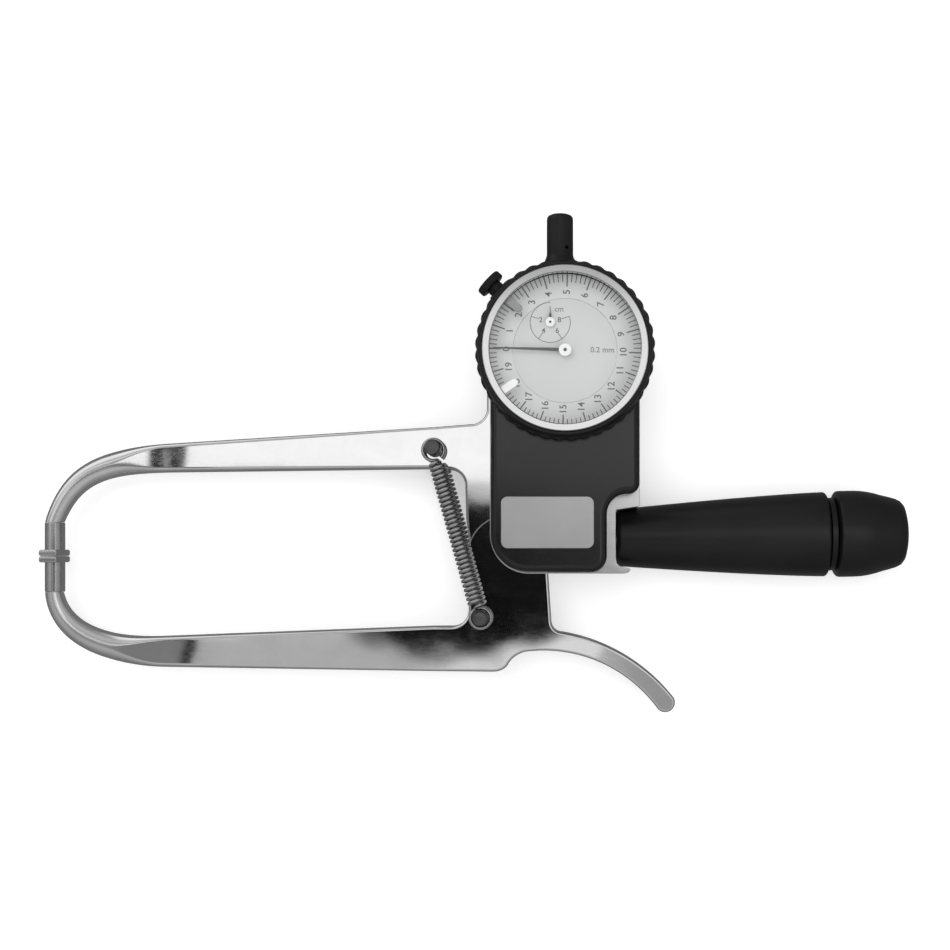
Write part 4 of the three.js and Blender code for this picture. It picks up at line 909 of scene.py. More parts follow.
def lofted_arm(bend, side, bar_y, bar_width, root_thickness):
    tip = Vector((JAW_X, TIP_MIDDLE * side - TIP_DIFFERENCE, MID))
    end = Vector((JAW_X + bend["x"], bend["y"] * side, MID))
    root = Vector((ROOT_X, bar_y * side, MID))
    bar = (root - end).normalized()
    lean = Vector((bend["lean"], bend["rise"] * side, 0))
    curve = interpolate_bezier(tip, tip + lean, end - bar * bend["run"], end, BEND_RINGS)
    last = BEND_RINGS - 1
    bm = bmesh.new()
    rings = []
    for i, place in enumerate(curve):
        share = i / last
        along = curve[min(i + 1, last)] - curve[max(i - 1, 0)]
        if i == 0:
            along = Vector((0, side, 0))
        width = TIP_SIZE + (bend["width"] - TIP_SIZE) * share
        thick = TIP_SIZE + (BEND_THICKNESS - TIP_SIZE) * share
        oval = flattening(-bend["length"] * (1 - share))
        rings.append(cross_section(bm, place, along, width, thick, TIP_CORNER, oval))
    for share in BAR_SHARES:
        width = bend["width"] + (bar_width - bend["width"]) * share
        thick = BEND_THICKNESS + (root_thickness - BEND_THICKNESS) * (1 - (1 - share) ** 2)
        corner = TIP_CORNER - (TIP_CORNER - ROOT_CORNER) * share
        place, oval = end.lerp(root, share), flattening((root - end).length * share)
        rings.append(cross_section(bm, place, bar, width, thick, corner, oval))
    inside = root + Vector((ROOT_OVERLAP, 0, 0))
    to_pivot = Vector((1, 0, 0))
    rings.append(cross_section(bm, inside, to_pivot, bar_width, root_thickness, ROOT_CORNER))
    for one, two in zip(rings, rings[1:]):
        bmesh.ops.bridge_loops(bm, edges=one + two)
    for ring in (rings[0], rings[-1]):
        bmesh.ops.contextual_create(bm, geom=[e for e in ring if e.is_valid])
    return close_skin(bm)


def spigot(side):
    """The round stub at an arm's tip that the jaw is pushed onto."""
    stub = rod(SPIGOT, SPIGOT_START, SPIGOT_END)
    return moved(stub, shift((JAW_X, 0, MID)) @ turn(-90 * side, "X"))


# Where each bend ends, the handles of its curve, its width there and its length.
UPPER_BEND = {"x": 39, "y": 32.3, "lean": 5.6, "rise": 15.2, "run": 25, "width": 9.3, "length": 49}
LOWER_BEND = {"x": 37, "y": 31.4, "lean": 1.8, "rise": 13.6, "run": 20.4, "width": 10, "length": 47}
upper_bar = lofted_arm(UPPER_BEND, 1, 35.5, 13.4, 10.0)
lower_bar = lofted_arm(LOWER_BEND, -1, 30.4, 14.6, 9.4)
print("upper bar faces:", len(upper_bar.faces), "lower bar faces:", len(lower_bar.faces))

# %% [markdown]
# ## The polished frame
# The upper arm runs into a flat body that carries the gauge and has a round pocket for the
# lower arm's hub. The real one is a single forging, polished before its covers go on, so
# the loft and two plates are joined into one mesh and the pockets are cut from that.

# %% The body's outline
SCREWS = ((-0.6, 33.5), (37, 31), (27, -0.2))
TOP_SCREW = (18.4, 83)
SCREW_HOLE, PIN_HOLE = 1.8, 2.1
SPINDLE_HOLE, DIAL_HOLE = 2.3, 5.3
HUB_RADIUS, HUB_CLEARANCE = 13.2, 0.35
LEFT, RIGHT, BOTTOM, CORNER = -5.4, 42.2, -5.1, 12.1
DIAL_ARC = (DIAL_CENTRE.x, DIAL_CENTRE.y, 180)


def body_sides(margin):
    """The body's left, right, bottom and lower left corner, grown by a margin."""
    return LEFT - margin, RIGHT + margin, BOTTOM - margin, CORNER + margin


def body_plate(margin, low, high):
    left, right, bottom, corner = body_sides(margin)
    tongue, ledge = [(35.0, bottom)], 16.4
    # The side plates also have a tongue that shows as a bright lip under the handle.
    if margin > 0.5:
        tongue, ledge = [(37.0, bottom), (39.8, bottom, 39.8, -4.1), (35.0, -3.0)], 15.0
    rim = traced(
        (left + corner, bottom),
        [
            *tongue,
            (35.0, ledge),
            (right, max(ledge, 16.2)),
            (right, DIAL_CENTRE.y),
            DIAL_ARC,
            (left, bottom + corner),
            (left + corner, bottom + corner, 90),
        ],
    )
    return raised(rim, low, high)


def screw_holes(low=0, high=ABOVE, places=SCREWS):
    return [rod(SCREW_HOLE, low, high, place) for place in places]


print("body is", RIGHT - LEFT, "mm wide with", len(SCREWS) + 1, "cover screws")

# %% Frame
STUD_HOLE = 1.9
TOP_SCREW_DEPTH = 17.2
TIE_ROD, TIE_ROD_START = 3.3, -7.3
DIAL_POCKET = 15.4
REAR_POCKET, REAR_POCKET_TOP = 4.3, 12.6
# The drive lever swings in this pocket, which starts at an angle in radians and sweeps
# a number of degrees.
LEVER_REACH = 19.9
LEVER_START, LEVER_SWEEP = -0.56, 75.0
HANDLE_MATRIX = shift(HANDLE_END) @ turn(HANDLE_LEAN) @ turn(90, "Y")
shoulder = traced(
    (ROOT_X, 28.8),
    [
        (-19.8, 28.5),
        (-19.8, 22.9, -90),
        (-13.9, 12.2),
        (-12.5, 0),
        (0.6, 0),
        (0.6, 65.1),
        (-7.05, 65.1),
        (-7.05, 48.4),
        (-12.25, 48.4, -90),
        (ROOT_X, 42.2),
    ],
)
shoulder = rounded(raised(shoulder, *CORE), 0.9, 4)
core = rounded(body_plate(0.0, *CORE), 0.6, 2)
lever_start = (LEVER_REACH * math.cos(LEVER_START), LEVER_REACH * math.sin(LEVER_START))
lever_pocket = raised(traced((0, 0), [lever_start, (0, 0, LEVER_SWEEP)]), 0, ABOVE)
frame_mesh = boolean(upper_bar, [spigot(1), shoulder, core], "UNION")
frame_mesh = boolean(
    frame_mesh,
    [
        hole(HUB_RADIUS + HUB_CLEARANCE, steps=128),
        lever_pocket,
        hole(STUD_HOLE, UPPER_STUD.xy),
        *screw_holes(),
        hole(SCREW_HOLE, TOP_SCREW, 0, TOP_SCREW_DEPTH),
        moved(rod(TIE_ROD, TIE_ROD_START, 60), HANDLE_MATRIX),
        hole(DIAL_HOLE, DIAL_CENTRE.xy, DIAL_POCKET),
        hole(SPINDLE_HOLE, DIAL_CENTRE.xy),
        hole(REAR_POCKET, DIAL_CENTRE.xy, 0, REAR_POCKET_TOP),
    ],
)
piece("polished_frame", frame_mesh, polished_steel, "frame", ["frame"])

# %% [markdown]
# ## The lower arm
# The lower arm is one lever: the bar, an upright, the hub round the pivot, a heel and the
# curved finger trigger. Its outline is traced in one go and joined to the loft and hub.
# Joining a separate trigger would be easier, but a seam would show in the polish.

# %% Lower arm
# Centres of the trigger's arcs: its lower side, its tip and its upper side.
TRIGGER_UNDER = (11.394, -77.168)
TRIGGER_TIP = (51.253, -47.945)
TRIGGER_TOP = (7.794, -83.568)
LEVER_LENGTH, LEVER_HALF_WIDTH, LEVER_TURN = 19.3, 3, -4
BUSH_POCKET, BUSH_POCKET_TOP = 6.0, 18.3
DRIVE_PIN_HOLE, DRIVE_PIN_DEPTH = 1.4, 11.5
DRIVE_PIN = (16.8, -1.17)
web = traced(
    (ROOT_X, -37.7),
    [
        (-5.0, -37.9),
        (-2.2, -37.9, -0.4, -35.9),
        (1.2, -32.56, 5.364, -31.363),
        (*TRIGGER_UNDER, -60.9),
        (*TRIGGER_TIP, 180),
        (*TRIGGER_TOP, 41.5),
        (14.4, -24.8, 14.0, -21.6),
        (13.0, -6.6),
        (12.8, 0),
        (-12.6, 0),
        (-12.9, -6.6),
        (-13.1, -17.5),
        (-18.7, -17.5, -90),
        (ROOT_X, -23.1),
    ],
    3.0,
)
web = rounded(raised(web, *ARM), 0.85, 4)
lever = block((0, LEVER_LENGTH), (-LEVER_HALF_WIDTH, LEVER_HALF_WIDTH), ARM)
lever = moved(lever, turn(LEVER_TURN))
hub = rod(HUB_RADIUS, *ARM, steps=128)
lower_mesh = boolean(lower_bar, [spigot(-1), web, hub, lever], "UNION")
lower_mesh = boolean(
    lower_mesh,
    [
        hole(BUSH_POCKET, high=BUSH_POCKET_TOP, steps=96),
        hole(PIN_HOLE),
        hole(STUD_HOLE, LOWER_STUD.xy),
        hole(DRIVE_PIN_HOLE, DRIVE_PIN, DRIVE_PIN_DEPTH),
    ],
)
piece("polished_lower_arm", lower_mesh, polished_steel, "arm", ["lower_arm"])

# %% [markdown]
# ## Plates and pivot
# Satin plates sandwich the frame and hold the pivot pin. Only their rims show beside the
# black covers, as a thin bright line, so a light rounding matters more than their faces.

# %% Side plates
PLATE_LIP = 0.6
# The drive pin's slot: its ends are angles in radians, its sweep is in degrees.
SLOT_OUTER, SLOT_INNER = 19.3, 14.3
SLOT_START, SLOT_END, SLOT_SWEEP = -0.1, 0.638, 42.3


def drive_slot():
    """The curved slot in the front plate that the drive pin swings in."""
    start = (SLOT_OUTER * math.cos(SLOT_START), SLOT_OUTER * math.sin(SLOT_START))
    back = (SLOT_INNER * math.cos(SLOT_END), SLOT_INNER * math.sin(SLOT_END))
    return raised(traced(start, [(0, 0, SLOT_SWEEP), back, (0, 0, -SLOT_SWEEP)]), 0, ABOVE)


for name, heights, extra in (
    ("front_side_plate", FRONT_PLATE, [hole(DIAL_HOLE, DIAL_CENTRE.xy), drive_slot()]),
    ("rear_side_plate", REAR_PLATE, [hole(SCREW_HOLE, TOP_SCREW)]),
):
    plate = rounded(body_plate(PLATE_LIP, *heights), 0.25, 2)
    plate = boolean(plate, [*screw_holes(), hole(PIN_HOLE), *extra])
    piece("satin_" + name, plate, plate_steel, "frame", [name])

# %% Pivot
PIN_NECK, PIN_RADIUS = 1.8, 3.98
pin = turned(
    [
        (0, REAR_PLATE[0]),
        (PIN_NECK, REAR_PLATE[0]),
        (PIN_NECK, 9.2),
        (PIN_RADIUS, 9.2),
        (PIN_RADIUS, 18.0),
        (PIN_NECK, 18.0),
        (PIN_NECK, FRONT_PLATE[1]),
        (0, FRONT_PLATE[1]),
    ],
    64,
)
piece("shouldered_pivot_pin", pin, pin_steel, "frame", ["pivot_pin"])
bush = turned([(4.1, 9.3), (5.7, 9.3), (5.7, 18.1), (4.1, 18.1)], 64, True)
piece("pivot_sleeve", bush, brass, "arm", ["pivot_bush"])

# %% [markdown]
# ## Covers
# The black covers are shallow mouldings with softly rounded rims, hollow inside, with a
# boss for each screw. The front one has a bite out of it for the round gauge and a notch
# for the handle. The rim is rounded before the hollow is cut, as a mould would make it.

# %% The covers' outline
WALL = 2
COVER_TOP = 50.8
# The notch for the handle, and the radii of its three curves.
NOTCH_LEFT, NOTCH_TOP, NOTCH_RIGHT = 26.7, 13.5, 38.2
OUTER_CURVE, INNER_CURVE, STEP_CURVE = 5.1, 6.4, 3.5


def cover_rim(margin, round_top):
    left, right, bottom, corner = body_sides(margin)
    outer, inner, step = OUTER_CURVE + margin, INNER_CURVE - margin, STEP_CURVE + margin
    top = [(right, COVER_TOP + margin), (left, COVER_TOP + margin)]
    if round_top:
        top = [(right, DIAL_CENTRE.y), DIAL_ARC]
    return traced(
        (left + corner, bottom),
        [
            (NOTCH_LEFT, bottom),
            (NOTCH_LEFT, bottom + outer, 90),
            (NOTCH_RIGHT - inner, NOTCH_TOP),
            (NOTCH_RIGHT, NOTCH_TOP, -90),
            (right - step, NOTCH_TOP + inner),
            (right - step, NOTCH_TOP + inner + step, 90),
            *top,
            (left, bottom + corner),
            (left + corner, bottom + corner, 90),
        ],
        4.0,
    )


print("cover walls are", WALL, "mm thick")

# %% Front cover
FRONT_INSIDE = 31.5
GAUGE_BITE = 26.6
FRONT_BOSS, FRONT_BOSS_TOP, FRONT_HOLE_TOP = 3.5, 32.0, 31.2
front = raised(cover_rim(0, False), *FRONT_COVER)
front = rounded(front, 2.3, 7, SHARP, edge_at(FRONT_COVER[1]))
hollow = raised(cover_rim(-WALL, False), 20, FRONT_INSIDE)
front = boolean(front, [hollow, on_dial(rod(GAUGE_BITE, 0, ABOVE, steps=160))])
bosses = [rod(FRONT_BOSS, FRONT_COVER[0], FRONT_BOSS_TOP, place) for place in SCREWS]
front = boolean(boolean(front, bosses, "UNION"), screw_holes(20, FRONT_HOLE_TOP))
piece("front_cover_moulding", front, moulded_black, "frame", ["front_cover"])

# %% Rear cover
REAR_BOSS, REAR_BOSS_START = 4.3, 1.0
COUNTERBORE, COUNTERBORE_TOP = 3.0, 2.6
screw_places = [*SCREWS, TOP_SCREW]
rear = rounded(raised(cover_rim(0, True), *REAR_COVER), 1.2, 4, SHARP, edge_at(REAR_COVER[0]))
rear = boolean(rear, [raised(cover_rim(-WALL, True), WALL, 20)])
bosses = [rod(REAR_BOSS, REAR_BOSS_START, REAR_COVER[1], place) for place in screw_places]
rear = boolean(rear, bosses, "UNION")
counterbores = [rod(COUNTERBORE, BELOW, COUNTERBORE_TOP, place) for place in screw_places]
rear = boolean(rear, counterbores + screw_holes(BELOW, 20, screw_places))
piece("rear_cover_moulding", rear, moulded_black, "frame", ["rear_cover"])

# %% [markdown]
# ## Screws
# Four pan-headed screws, sunk into the rear cover, hold the covers from behind. Each head
# is turned with a soft edge and has a straight slot, because a plain disc would read as a
# peg. The slots point different ways, as they do when screws are driven home.

# %% Cover screws
FIRST_SLOT, NEXT_SLOT = 25, 40
LONG_SCREW_TIP, TOP_SCREW_TIP = 30.9, 16.2
for i, place in enumerate(screw_places):
    tip = TOP_SCREW_TIP if place == TOP_SCREW else LONG_SCREW_TIP
    head = [(0, 0.5), (2.2, 0.5), (2.55, 0.65), (2.7, 1.0), (2.7, 2.3)]
    screw = turned([*head, (1.5, 2.3), (1.5, tip), (0, tip)], 64)
    slot_cut = moved(block((-3, 3), (-0.35, 0.35), (0, 1.2)), turn(FIRST_SLOT + NEXT_SLOT * i))
    screw = moved(boolean(screw, [slot_cut]), shift((*place, 0)))
    node = "cover_screw_top" if place == TOP_SCREW else f"cover_screw_{i + 1}"
    piece("slotted_" + node, screw, dark_steel, "frame", [node])

# %% [markdown]
# ## The label plate
# A brushed metal label sits on the front cover. It is left blank here, and its interest is
# the long brushing and the bright rim where the metal was sheared.

# %% Label plate
LABEL_LEFT, LABEL_RIGHT, LABEL_LOW, LABEL_HIGH, LABEL_CORNER = -2.0, 27.6, 2.5, 19.0, 2.2


def label_plate():
    left, right = LABEL_LEFT + LABEL_CORNER, LABEL_RIGHT - LABEL_CORNER
    low, high = LABEL_LOW + LABEL_CORNER, LABEL_HIGH - LABEL_CORNER
    rim = traced(
        (left, LABEL_LOW),
        [
            (right, LABEL_LOW),
            (right, low, 90),
            (LABEL_RIGHT, high),
            (right, high, 90),
            (left, LABEL_HIGH),
            (left, high, 90),
            (LABEL_LEFT, low),
            (left, low, 90),
        ],
    )
    return rounded(raised(rim, *LABEL), 0.16, 3, SHARP, edge_at(LABEL[1]))


piece("blank_label", label_plate(), label_steel, "frame", ["label_plate"])

# %% [markdown]
# ## Jaws
# Each jaw is a slightly oval barrel, pushed on the arm's stub, that ends in a flat face
# with softened edges, which presses on the skin. The two barrels point away from each
# other. A single block would be simpler, but the step between barrel and face shows.

# %% Jaws
BARREL, BARREL_START = 3.05, 1.7
BARREL_OVAL = (1.06, 1.15, 1)
BARREL_OFFSET = 0.18
FACE_HALF_WIDTH, FACE_HALF_HEIGHT = 3, 7.5
FACE_GAP, FACE_BACK = 0.04, 2.1
STUB_HOLE = 2.0


def jaw(side, end):
    barrel = rounded(rod(BARREL, BARREL_START, end, steps=64), 0.3, 3, 60, edge_at(end))
    bmesh.ops.scale(barrel, verts=barrel.verts, vec=BARREL_OVAL)
    bmesh.ops.translate(barrel, verts=barrel.verts, vec=(BARREL_OFFSET * side, 0, 0))
    barrel = moved(barrel, turn(-90, "X"))
    width = (-FACE_HALF_WIDTH, FACE_HALF_WIDTH)
    face = block(width, (FACE_GAP, FACE_BACK), (-FACE_HALF_HEIGHT, FACE_HALF_HEIGHT))
    made = boolean(barrel, [rounded(face, 0.6, 4)], "UNION")
    made = boolean(made, [moved(rod(STUB_HOLE, 4.5, 12), turn(-90, "X"))])
    if side < 0:
        moved(made, turn(180))
    return moved(made, shift((JAW_X, 0, MID)))


piece("upper_jaw_face", jaw(1, 11.0), jaw_steel, "frame", ["upper_jaw"])
piece("lower_jaw_face", jaw(-1, 11.8), jaw_steel, "arm", ["lower_jaw"])

# %% [markdown]
# ## Studs, springs and bushes
# Two tension springs, one in front and one behind, hook over grooved studs. The wire is a
# long helix with an eye at each end. A curve with a round bevel makes such wire evenly, and
# is then turned into a mesh. In use the spring stretches between its two bodies, but this
# mesh rides on neither.

# %% Studs
STUD, STUD_LIFT = 2.6, 0.3
UPPER_GROOVE, LOWER_GROOVE = 2.1, 1.5


def stud(face, groove_half, groove, head):
    """A stud that is alike at both ends, from the height of the face it stands on."""
    low, high = SPRING_HEIGHTS[0] - groove_half, SPRING_HEIGHTS[0] + groove_half
    half = [
        (1.6, face),
        (STUD - 0.2, face),
        (STUD, face + 0.2),
        (STUD, low),
        (groove, low),
        (groove, high),
        (head - 0.2, high),
        (head, high + 0.2),
        (head - 0.05, high + 1.7),
        (head - 0.35, high + 2.25),
        (head - 0.8, high + 2.4),
        (0, high + 2.4),
    ]
    return turned([(r, 2 * MID - z) for r, z in reversed(half)] + half, 64)


upper = moved(stud(CORE[1] + STUD_LIFT, 0.8, UPPER_GROOVE, 2.6), shift(UPPER_STUD))
piece("grooved_upper_stud", upper, dark_steel, "frame", ["upper_spring_stud"])
lower = moved(stud(ARM[1] + STUD_LIFT, 1.2, LOWER_GROOVE, 2.3), shift(LOWER_STUD))
piece("grooved_lower_stud", lower, dark_steel, "arm", ["lower_spring_stud"])

# %% The springs' route
WIRE = 0.57
COIL = 2.35
UPPER_EYE, LOWER_EYE = 3.45, 3.3
# The CAD's wire is thinner, and it sets where the upper eye hangs from its stud.
CAD_WIRE, EYE_SLACK = 0.45, 0.12
LEAD = 1.35
TURNS = 31.5
STEPS_PER_TURN = 20
EYE_OPENING = 28
spring_axis = (LOWER_STUD - UPPER_STUD).normalized()
spring_across = Vector((-spring_axis.y, spring_axis.x, 0))
hang = UPPER_EYE - CAD_WIRE - UPPER_GROOVE - EYE_SLACK
upper_eye = UPPER_STUD + spring_axis * hang
eye_distance = (LOWER_STUD - upper_eye).length


def eye_and_lead(radius):
    """Points as (along, across, out) round an eye and up to the coil."""
    points = []
    start = math.radians(EYE_OPENING) - math.tau
    for i in range(25):
        angle = start * (1 - i / 24)
        points.append((radius * math.cos(angle), radius * math.sin(angle), 0))
    for i in range(1, 8):
        share = i / 8
        out = COIL * math.sin(share * math.pi / 2)
        turn_by = share * math.pi
        points.append((radius + LEAD * share, out * math.cos(turn_by), out * math.sin(turn_by)))
    return points


def spring_points(height):
    start = UPPER_EYE + LEAD
    length = eye_distance - start - LOWER_EYE - LEAD
    local = eye_and_lead(UPPER_EYE)
    steps = int(TURNS * STEPS_PER_TURN)
    for i in range(steps + 1):
        angle = math.pi + i / steps * TURNS * math.tau
        local.append((start + length * i / steps, COIL * math.cos(angle), COIL * math.sin(angle)))
    for along, across, out in reversed(eye_and_lead(LOWER_EYE)):
        local.append((eye_distance - along, -across, out))
    return [
        upper_eye + spring_axis * along + spring_across * across + Vector((0, 0, height + out))
        for along, across, out in local
    ]


print("spring eyes are", round(eye_distance, 1), "mm apart")

# %% Springs and their bushes


def wire_mesh(points, radius):
    curve = bpy.data.curves.new("wire", "CURVE")
    curve.dimensions = "3D"
    curve.bevel_depth = radius
    curve.bevel_resolution = 2
    curve.use_fill_caps = True
    spline = curve.splines.new("POLY")
    spline.points.add(len(points) - 1)
    for spot, place in zip(spline.points, points):
        spot.co = (*place, 1)
    return from_curve(curve)


bush_side = [(2.05, -0.85), (2.55, -0.85), (2.67, -0.7), (2.67, 0.7), (2.55, 0.85), (2.05, 0.85)]
for name, height in zip(("front_spring", "rear_spring"), SPRING_HEIGHTS):
    wire = wire_mesh(spring_points(height), WIRE)
    made = piece("coiled_" + name, wire, spring_steel, None, [name], 80)
    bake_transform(made)
    bush = moved(turned(bush_side, 64, True), shift((*LOWER_STUD.xy, height)))
    piece("turned_" + name + "_bush", bush, dark_steel, "spring_feet", [name + "_bush"])

# %% [markdown]
# ## The handle
# The handle is turned in black plastic: a grip that swells towards its far end, a groove,
# a ring and a domed cap. It leans one degree, as in the photograph. A lathe profile gives
# its soft shoulders, and a closer row of points there keeps them from looking faceted.

# %% Handle
GRIP_LENGTH = 69.3
GRIP_START, GRIP_SHOULDER = 1.7, 1.12
NARROW, SWELL = 9.5, 4.4
RING = (69.6, 71.6)
CAP_START = 71.9


def grip_profile():
    points = [(TIE_ROD, 0), (7.9, 0), (8.5, 0.08), (9.0, 0.5), (9.35, 1.1)]
    for i in range(25):
        share = i / 24
        swell = 1 - (1 - share) ** 1.3
        along = GRIP_START + (GRIP_LENGTH - GRIP_SHOULDER - GRIP_START) * share
        points.append((NARROW + SWELL * swell, along))
    end = GRIP_LENGTH
    return points + [(13.7, end - 0.6), (13.2, end - 0.2), (12.3, end), (TIE_ROD, end)]


def ring_profile():
    low, high = RING
    outside = [(11.8, low), (12, low + 0.2), (12, high - 0.2), (11.8, high)]
    return [(TIE_ROD, low), *outside, (TIE_ROD, high)]


def cap_profile():
    dome = [
        (12.6, 0),
        (13.5, 0.25),
        (14.0, 0.7),
        (14.2, 1.4),
        (14.2, 6.0),
        (14.1, 8.5),
        (13.75, 11.0),
        (13.2, 13.4),
        (12.6, 15.4),
        (11.95, 18.0),
        (11.35, 20.1),
        (10.6, 21.6),
        (9.4, 22.6),
        (7.2, 23.25),
        (4.0, 23.6),
        (0, 23.7),
    ]
    socket = [(0, 83.75), (TIE_ROD, 83.75), (TIE_ROD, CAP_START)]
    return socket + [(radius, CAP_START + along) for radius, along in dome]


for name, profile, ring, node in (
    ("grip", grip_profile(), True, "handle_grip"),
    ("ring", ring_profile(), True, "handle_ring"),
    ("cap", cap_profile(), False, "handle_end_cap"),
):
    made = moved(turned(profile, 128, ring), HANDLE_MATRIX)
    piece("turned_" + name, made, handle_black, "frame", [node])

# %% [markdown]
# ## The gauge's case, stem and cap
# The dial gauge is a round case with a stem down into the cover and a cap on top, with a
# flared foot and a small dark hole. They are turned about the spindle's own axis.

# %% Gauge body
CASE_INSIDE, CASE_OUTSIDE = 23.9, 26
CASE_EDGE = 0.3
STEM, STEM_END, STEM_START = 4, -43.3, -26.3
CAP_RADIUS, CAP_FOOT = 4.25, 5.0
CAP_LOW, CAP_INSIDE, CAP_HIGH = 26.3, 43.7, 45.3
VENT, VENT_RIGHT, VENT_UP = 0.55, 2.2, 33.8
spindle_matrix = shift((SPINDLE_X, DIAL_CENTRE.y, SPINDLE_HEIGHT)) @ turn(-90, "X")
case = turned(
    [
        (CASE_INSIDE, CASE[0]),
        (CASE_OUTSIDE - CASE_EDGE, CASE[0]),
        (CASE_OUTSIDE, CASE[0] + CASE_EDGE),
        (CASE_OUTSIDE, CASE[1]),
        (CASE_INSIDE, CASE[1]),
    ],
    160,
    True,
)
case = boolean(on_dial(case), [moved(rod(SPINDLE_HOLE, -27, 27), spindle_matrix)])
piece("gauge_case_wall", case, bezel_black, "frame", ["gauge_case"])
cap = turned(
    [
        (0, CAP_INSIDE),
        (2.5, CAP_INSIDE),
        (2.5, CAP_LOW),
        (4.75, CAP_LOW),
        (CAP_FOOT, 26.5),
        (CAP_FOOT, 29.5),
        (4.8, 30.3),
        (4.4, 31.2),
        (CAP_RADIUS, 31.9),
        (CAP_RADIUS, 43.2),
        (4.1, 44.0),
        (3.65, 44.5),
        (2.9, 44.85),
        (1.8, 45.1),
        (0, CAP_HIGH),
    ]
)
cap = moved(cap, spindle_matrix)
vent_place = (SPINDLE_X + VENT_RIGHT, DIAL_CENTRE.y + VENT_UP, SPINDLE_HEIGHT)
vent = moved(rod(VENT, 0, 8), shift(vent_place))
piece("stem_dust_cap", boolean(cap, [vent]), bezel_black, "frame", ["stem_cap"])
stem_side = [(STEM, STEM_END), (STEM, STEM_START)]
stem = turned([(SPINDLE_HOLE, STEM_END), *stem_side, (SPINDLE_HOLE, STEM_START)], 64, True)
stem = moved(stem, spindle_matrix)
piece("ground_stem", stem, pin_steel, "frame", ["gauge_stem"])

# %% [markdown]
# ## The bezel
# The bezel turns to set the scale's zero. Its skirt is scalloped so that fingers can hold
# it: forty shallow lobes round a circle. The lobes are made by drawing in the points of a
# circle, which keeps every one alike, where cutting forty grooves would be slow. A silver
# ring and the crystal sit in the bezel and turn with it.

# %% Bezel
SCALLOPS = 40
SKIRT_RADIUS, SKIRT_INSIDE = 28.4, 26.3
SCALLOP_DEPTH = 0.55
COLLAR = 27.8


def scalloped_ring():
    """A flat ring whose outer rim has a point ten times a lobe, drawn in between lobes."""
    bm = bmesh.new()
    outer = bmesh.ops.create_circle(bm, segments=SCALLOPS * 10, radius=SKIRT_RADIUS)["verts"]
    for v in outer:
        lobe = abs(math.sin(math.atan2(v.co.y, v.co.x) * SCALLOPS / 2))
        v.co *= 1 - SCALLOP_DEPTH / SKIRT_RADIUS * (1 - lobe)
    bmesh.ops.create_circle(bm, segments=SCALLOPS * 5, radius=SKIRT_INSIDE)
    bmesh.ops.bridge_loops(bm, edges=bm.edges[:])
    return bm


def outer_top_edge(e):
    return edge_at(SKIRT[1])(e) and e.verts[0].co.xy.length > 27


skirt = rounded(raised(scalloped_ring(), *SKIRT), 0.5, 3, 60, outer_top_edge)
lip = turned([(24.6, 35.2), (26.6, 35.2), (26.6, SKIRT[1]), (24.6, SKIRT[1])], 160, True)
collar_side = [(COLLAR, 39.4), (COLLAR, 40.2), (27.5, 42.0), (27.2, 43.1), (26.9, 43.4)]
collar = turned([(SKIRT_INSIDE, 39.4), *collar_side, (SKIRT_INSIDE, 43.4)], 160, True)
skirt = on_dial(boolean(skirt, [lip, collar], "UNION"))
piece("scalloped_bezel", skirt, bezel_black, "bezel", ["bezel_skirt"])

# %% Silver ring and crystal
RING_INSIDE, RING_OUTSIDE, RING_EDGE = 23.7, 26.0, 0.25
low, high = SILVER_RING
silver = turned(
    [
        (RING_INSIDE, low),
        (RING_OUTSIDE, low),
        (RING_OUTSIDE, high - RING_EDGE),
        (RING_OUTSIDE - RING_EDGE, high),
        (RING_INSIDE + RING_EDGE, high),
        (RING_INSIDE, high - RING_EDGE),
    ],
    192,
    True,
)
piece("silver_bezel_ring", on_dial(silver), ring_silver, "bezel", ["bezel_ring"])
lens = on_dial(rod(RING_OUTSIDE, *CRYSTAL, steps=128))
crystal = piece("dial_crystal", lens, crystal_glass, "bezel", ["crystal"])
crystal.visible_shadow = False
crystal.visible_diffuse = False

# %% [markdown]
# ## The dial
# The dial has a fixed middle and an outer ring that turns with the bezel. A hundred lines
# run round it, the twenty longer ones numbered, and the small dial counts whole turns. The
# print is thin mesh laid on the dial, so it stays sharp close up and needs no image.

# %% Dial faces
DIAL_MIDDLE, DIAL_RING, DIAL_RIM = 16.5, 16.58, 24.3
ARBOR_HOLE = 0.8
SMALL = (-4.7, 8.9)
ring_side = [(DIAL_RING, DIAL[0]), (DIAL_RIM, DIAL[0]), (DIAL_RIM, DIAL[1]), (DIAL_RING, DIAL[1])]
scale_ring = on_dial(turned(ring_side, 160, True))
piece("dial_ring", scale_ring, scale_silver_painted_lighter, "bezel", ["dial_scale_ring"])
arbor_holes = [rod(ARBOR_HOLE, 30, ABOVE, place) for place in ((0, 0), SMALL)]
centre_disc = on_dial(boolean(rod(DIAL_MIDDLE, *DIAL, steps=128), arbor_holes))
piece("dial_middle", centre_disc, dial_silver, "frame", ["dial_centre"])

# %% Printed lines and words
PRINT_GAP, PRINT_THICKNESS = 0.01, 0.03
PRINT = (DIAL[1] + PRINT_GAP, DIAL[1] + PRINT_GAP + PRINT_THICKNESS)
BOLDNESS = 0.012


def printed_line(inner, outer, width, angle, centre=(0, 0)):
    line = block((inner, outer), (-width / 2, width / 2), PRINT)
    return moved(line, shift((*centre, 0)) @ turn(angle))


def printed_text(words, size, place, angle):
    curve = bpy.data.curves.new("words", "FONT")
    curve.body = words
    curve.size = size
    curve.align_x = "CENTER"
    curve.align_y = "CENTER"
    curve.extrude = PRINT_THICKNESS / 2
    curve.offset = BOLDNESS * size
    curve.resolution_u = 4
    middle = (*place, PRINT[0] + PRINT_THICKNESS / 2)
    return moved(from_curve(curve), shift(middle) @ turn(angle))


def print_piece(name, marks, finish, body):
    piece(name, on_dial(merged(marks)), finish, body)


print("print is", PRINT_THICKNESS, "mm thick")

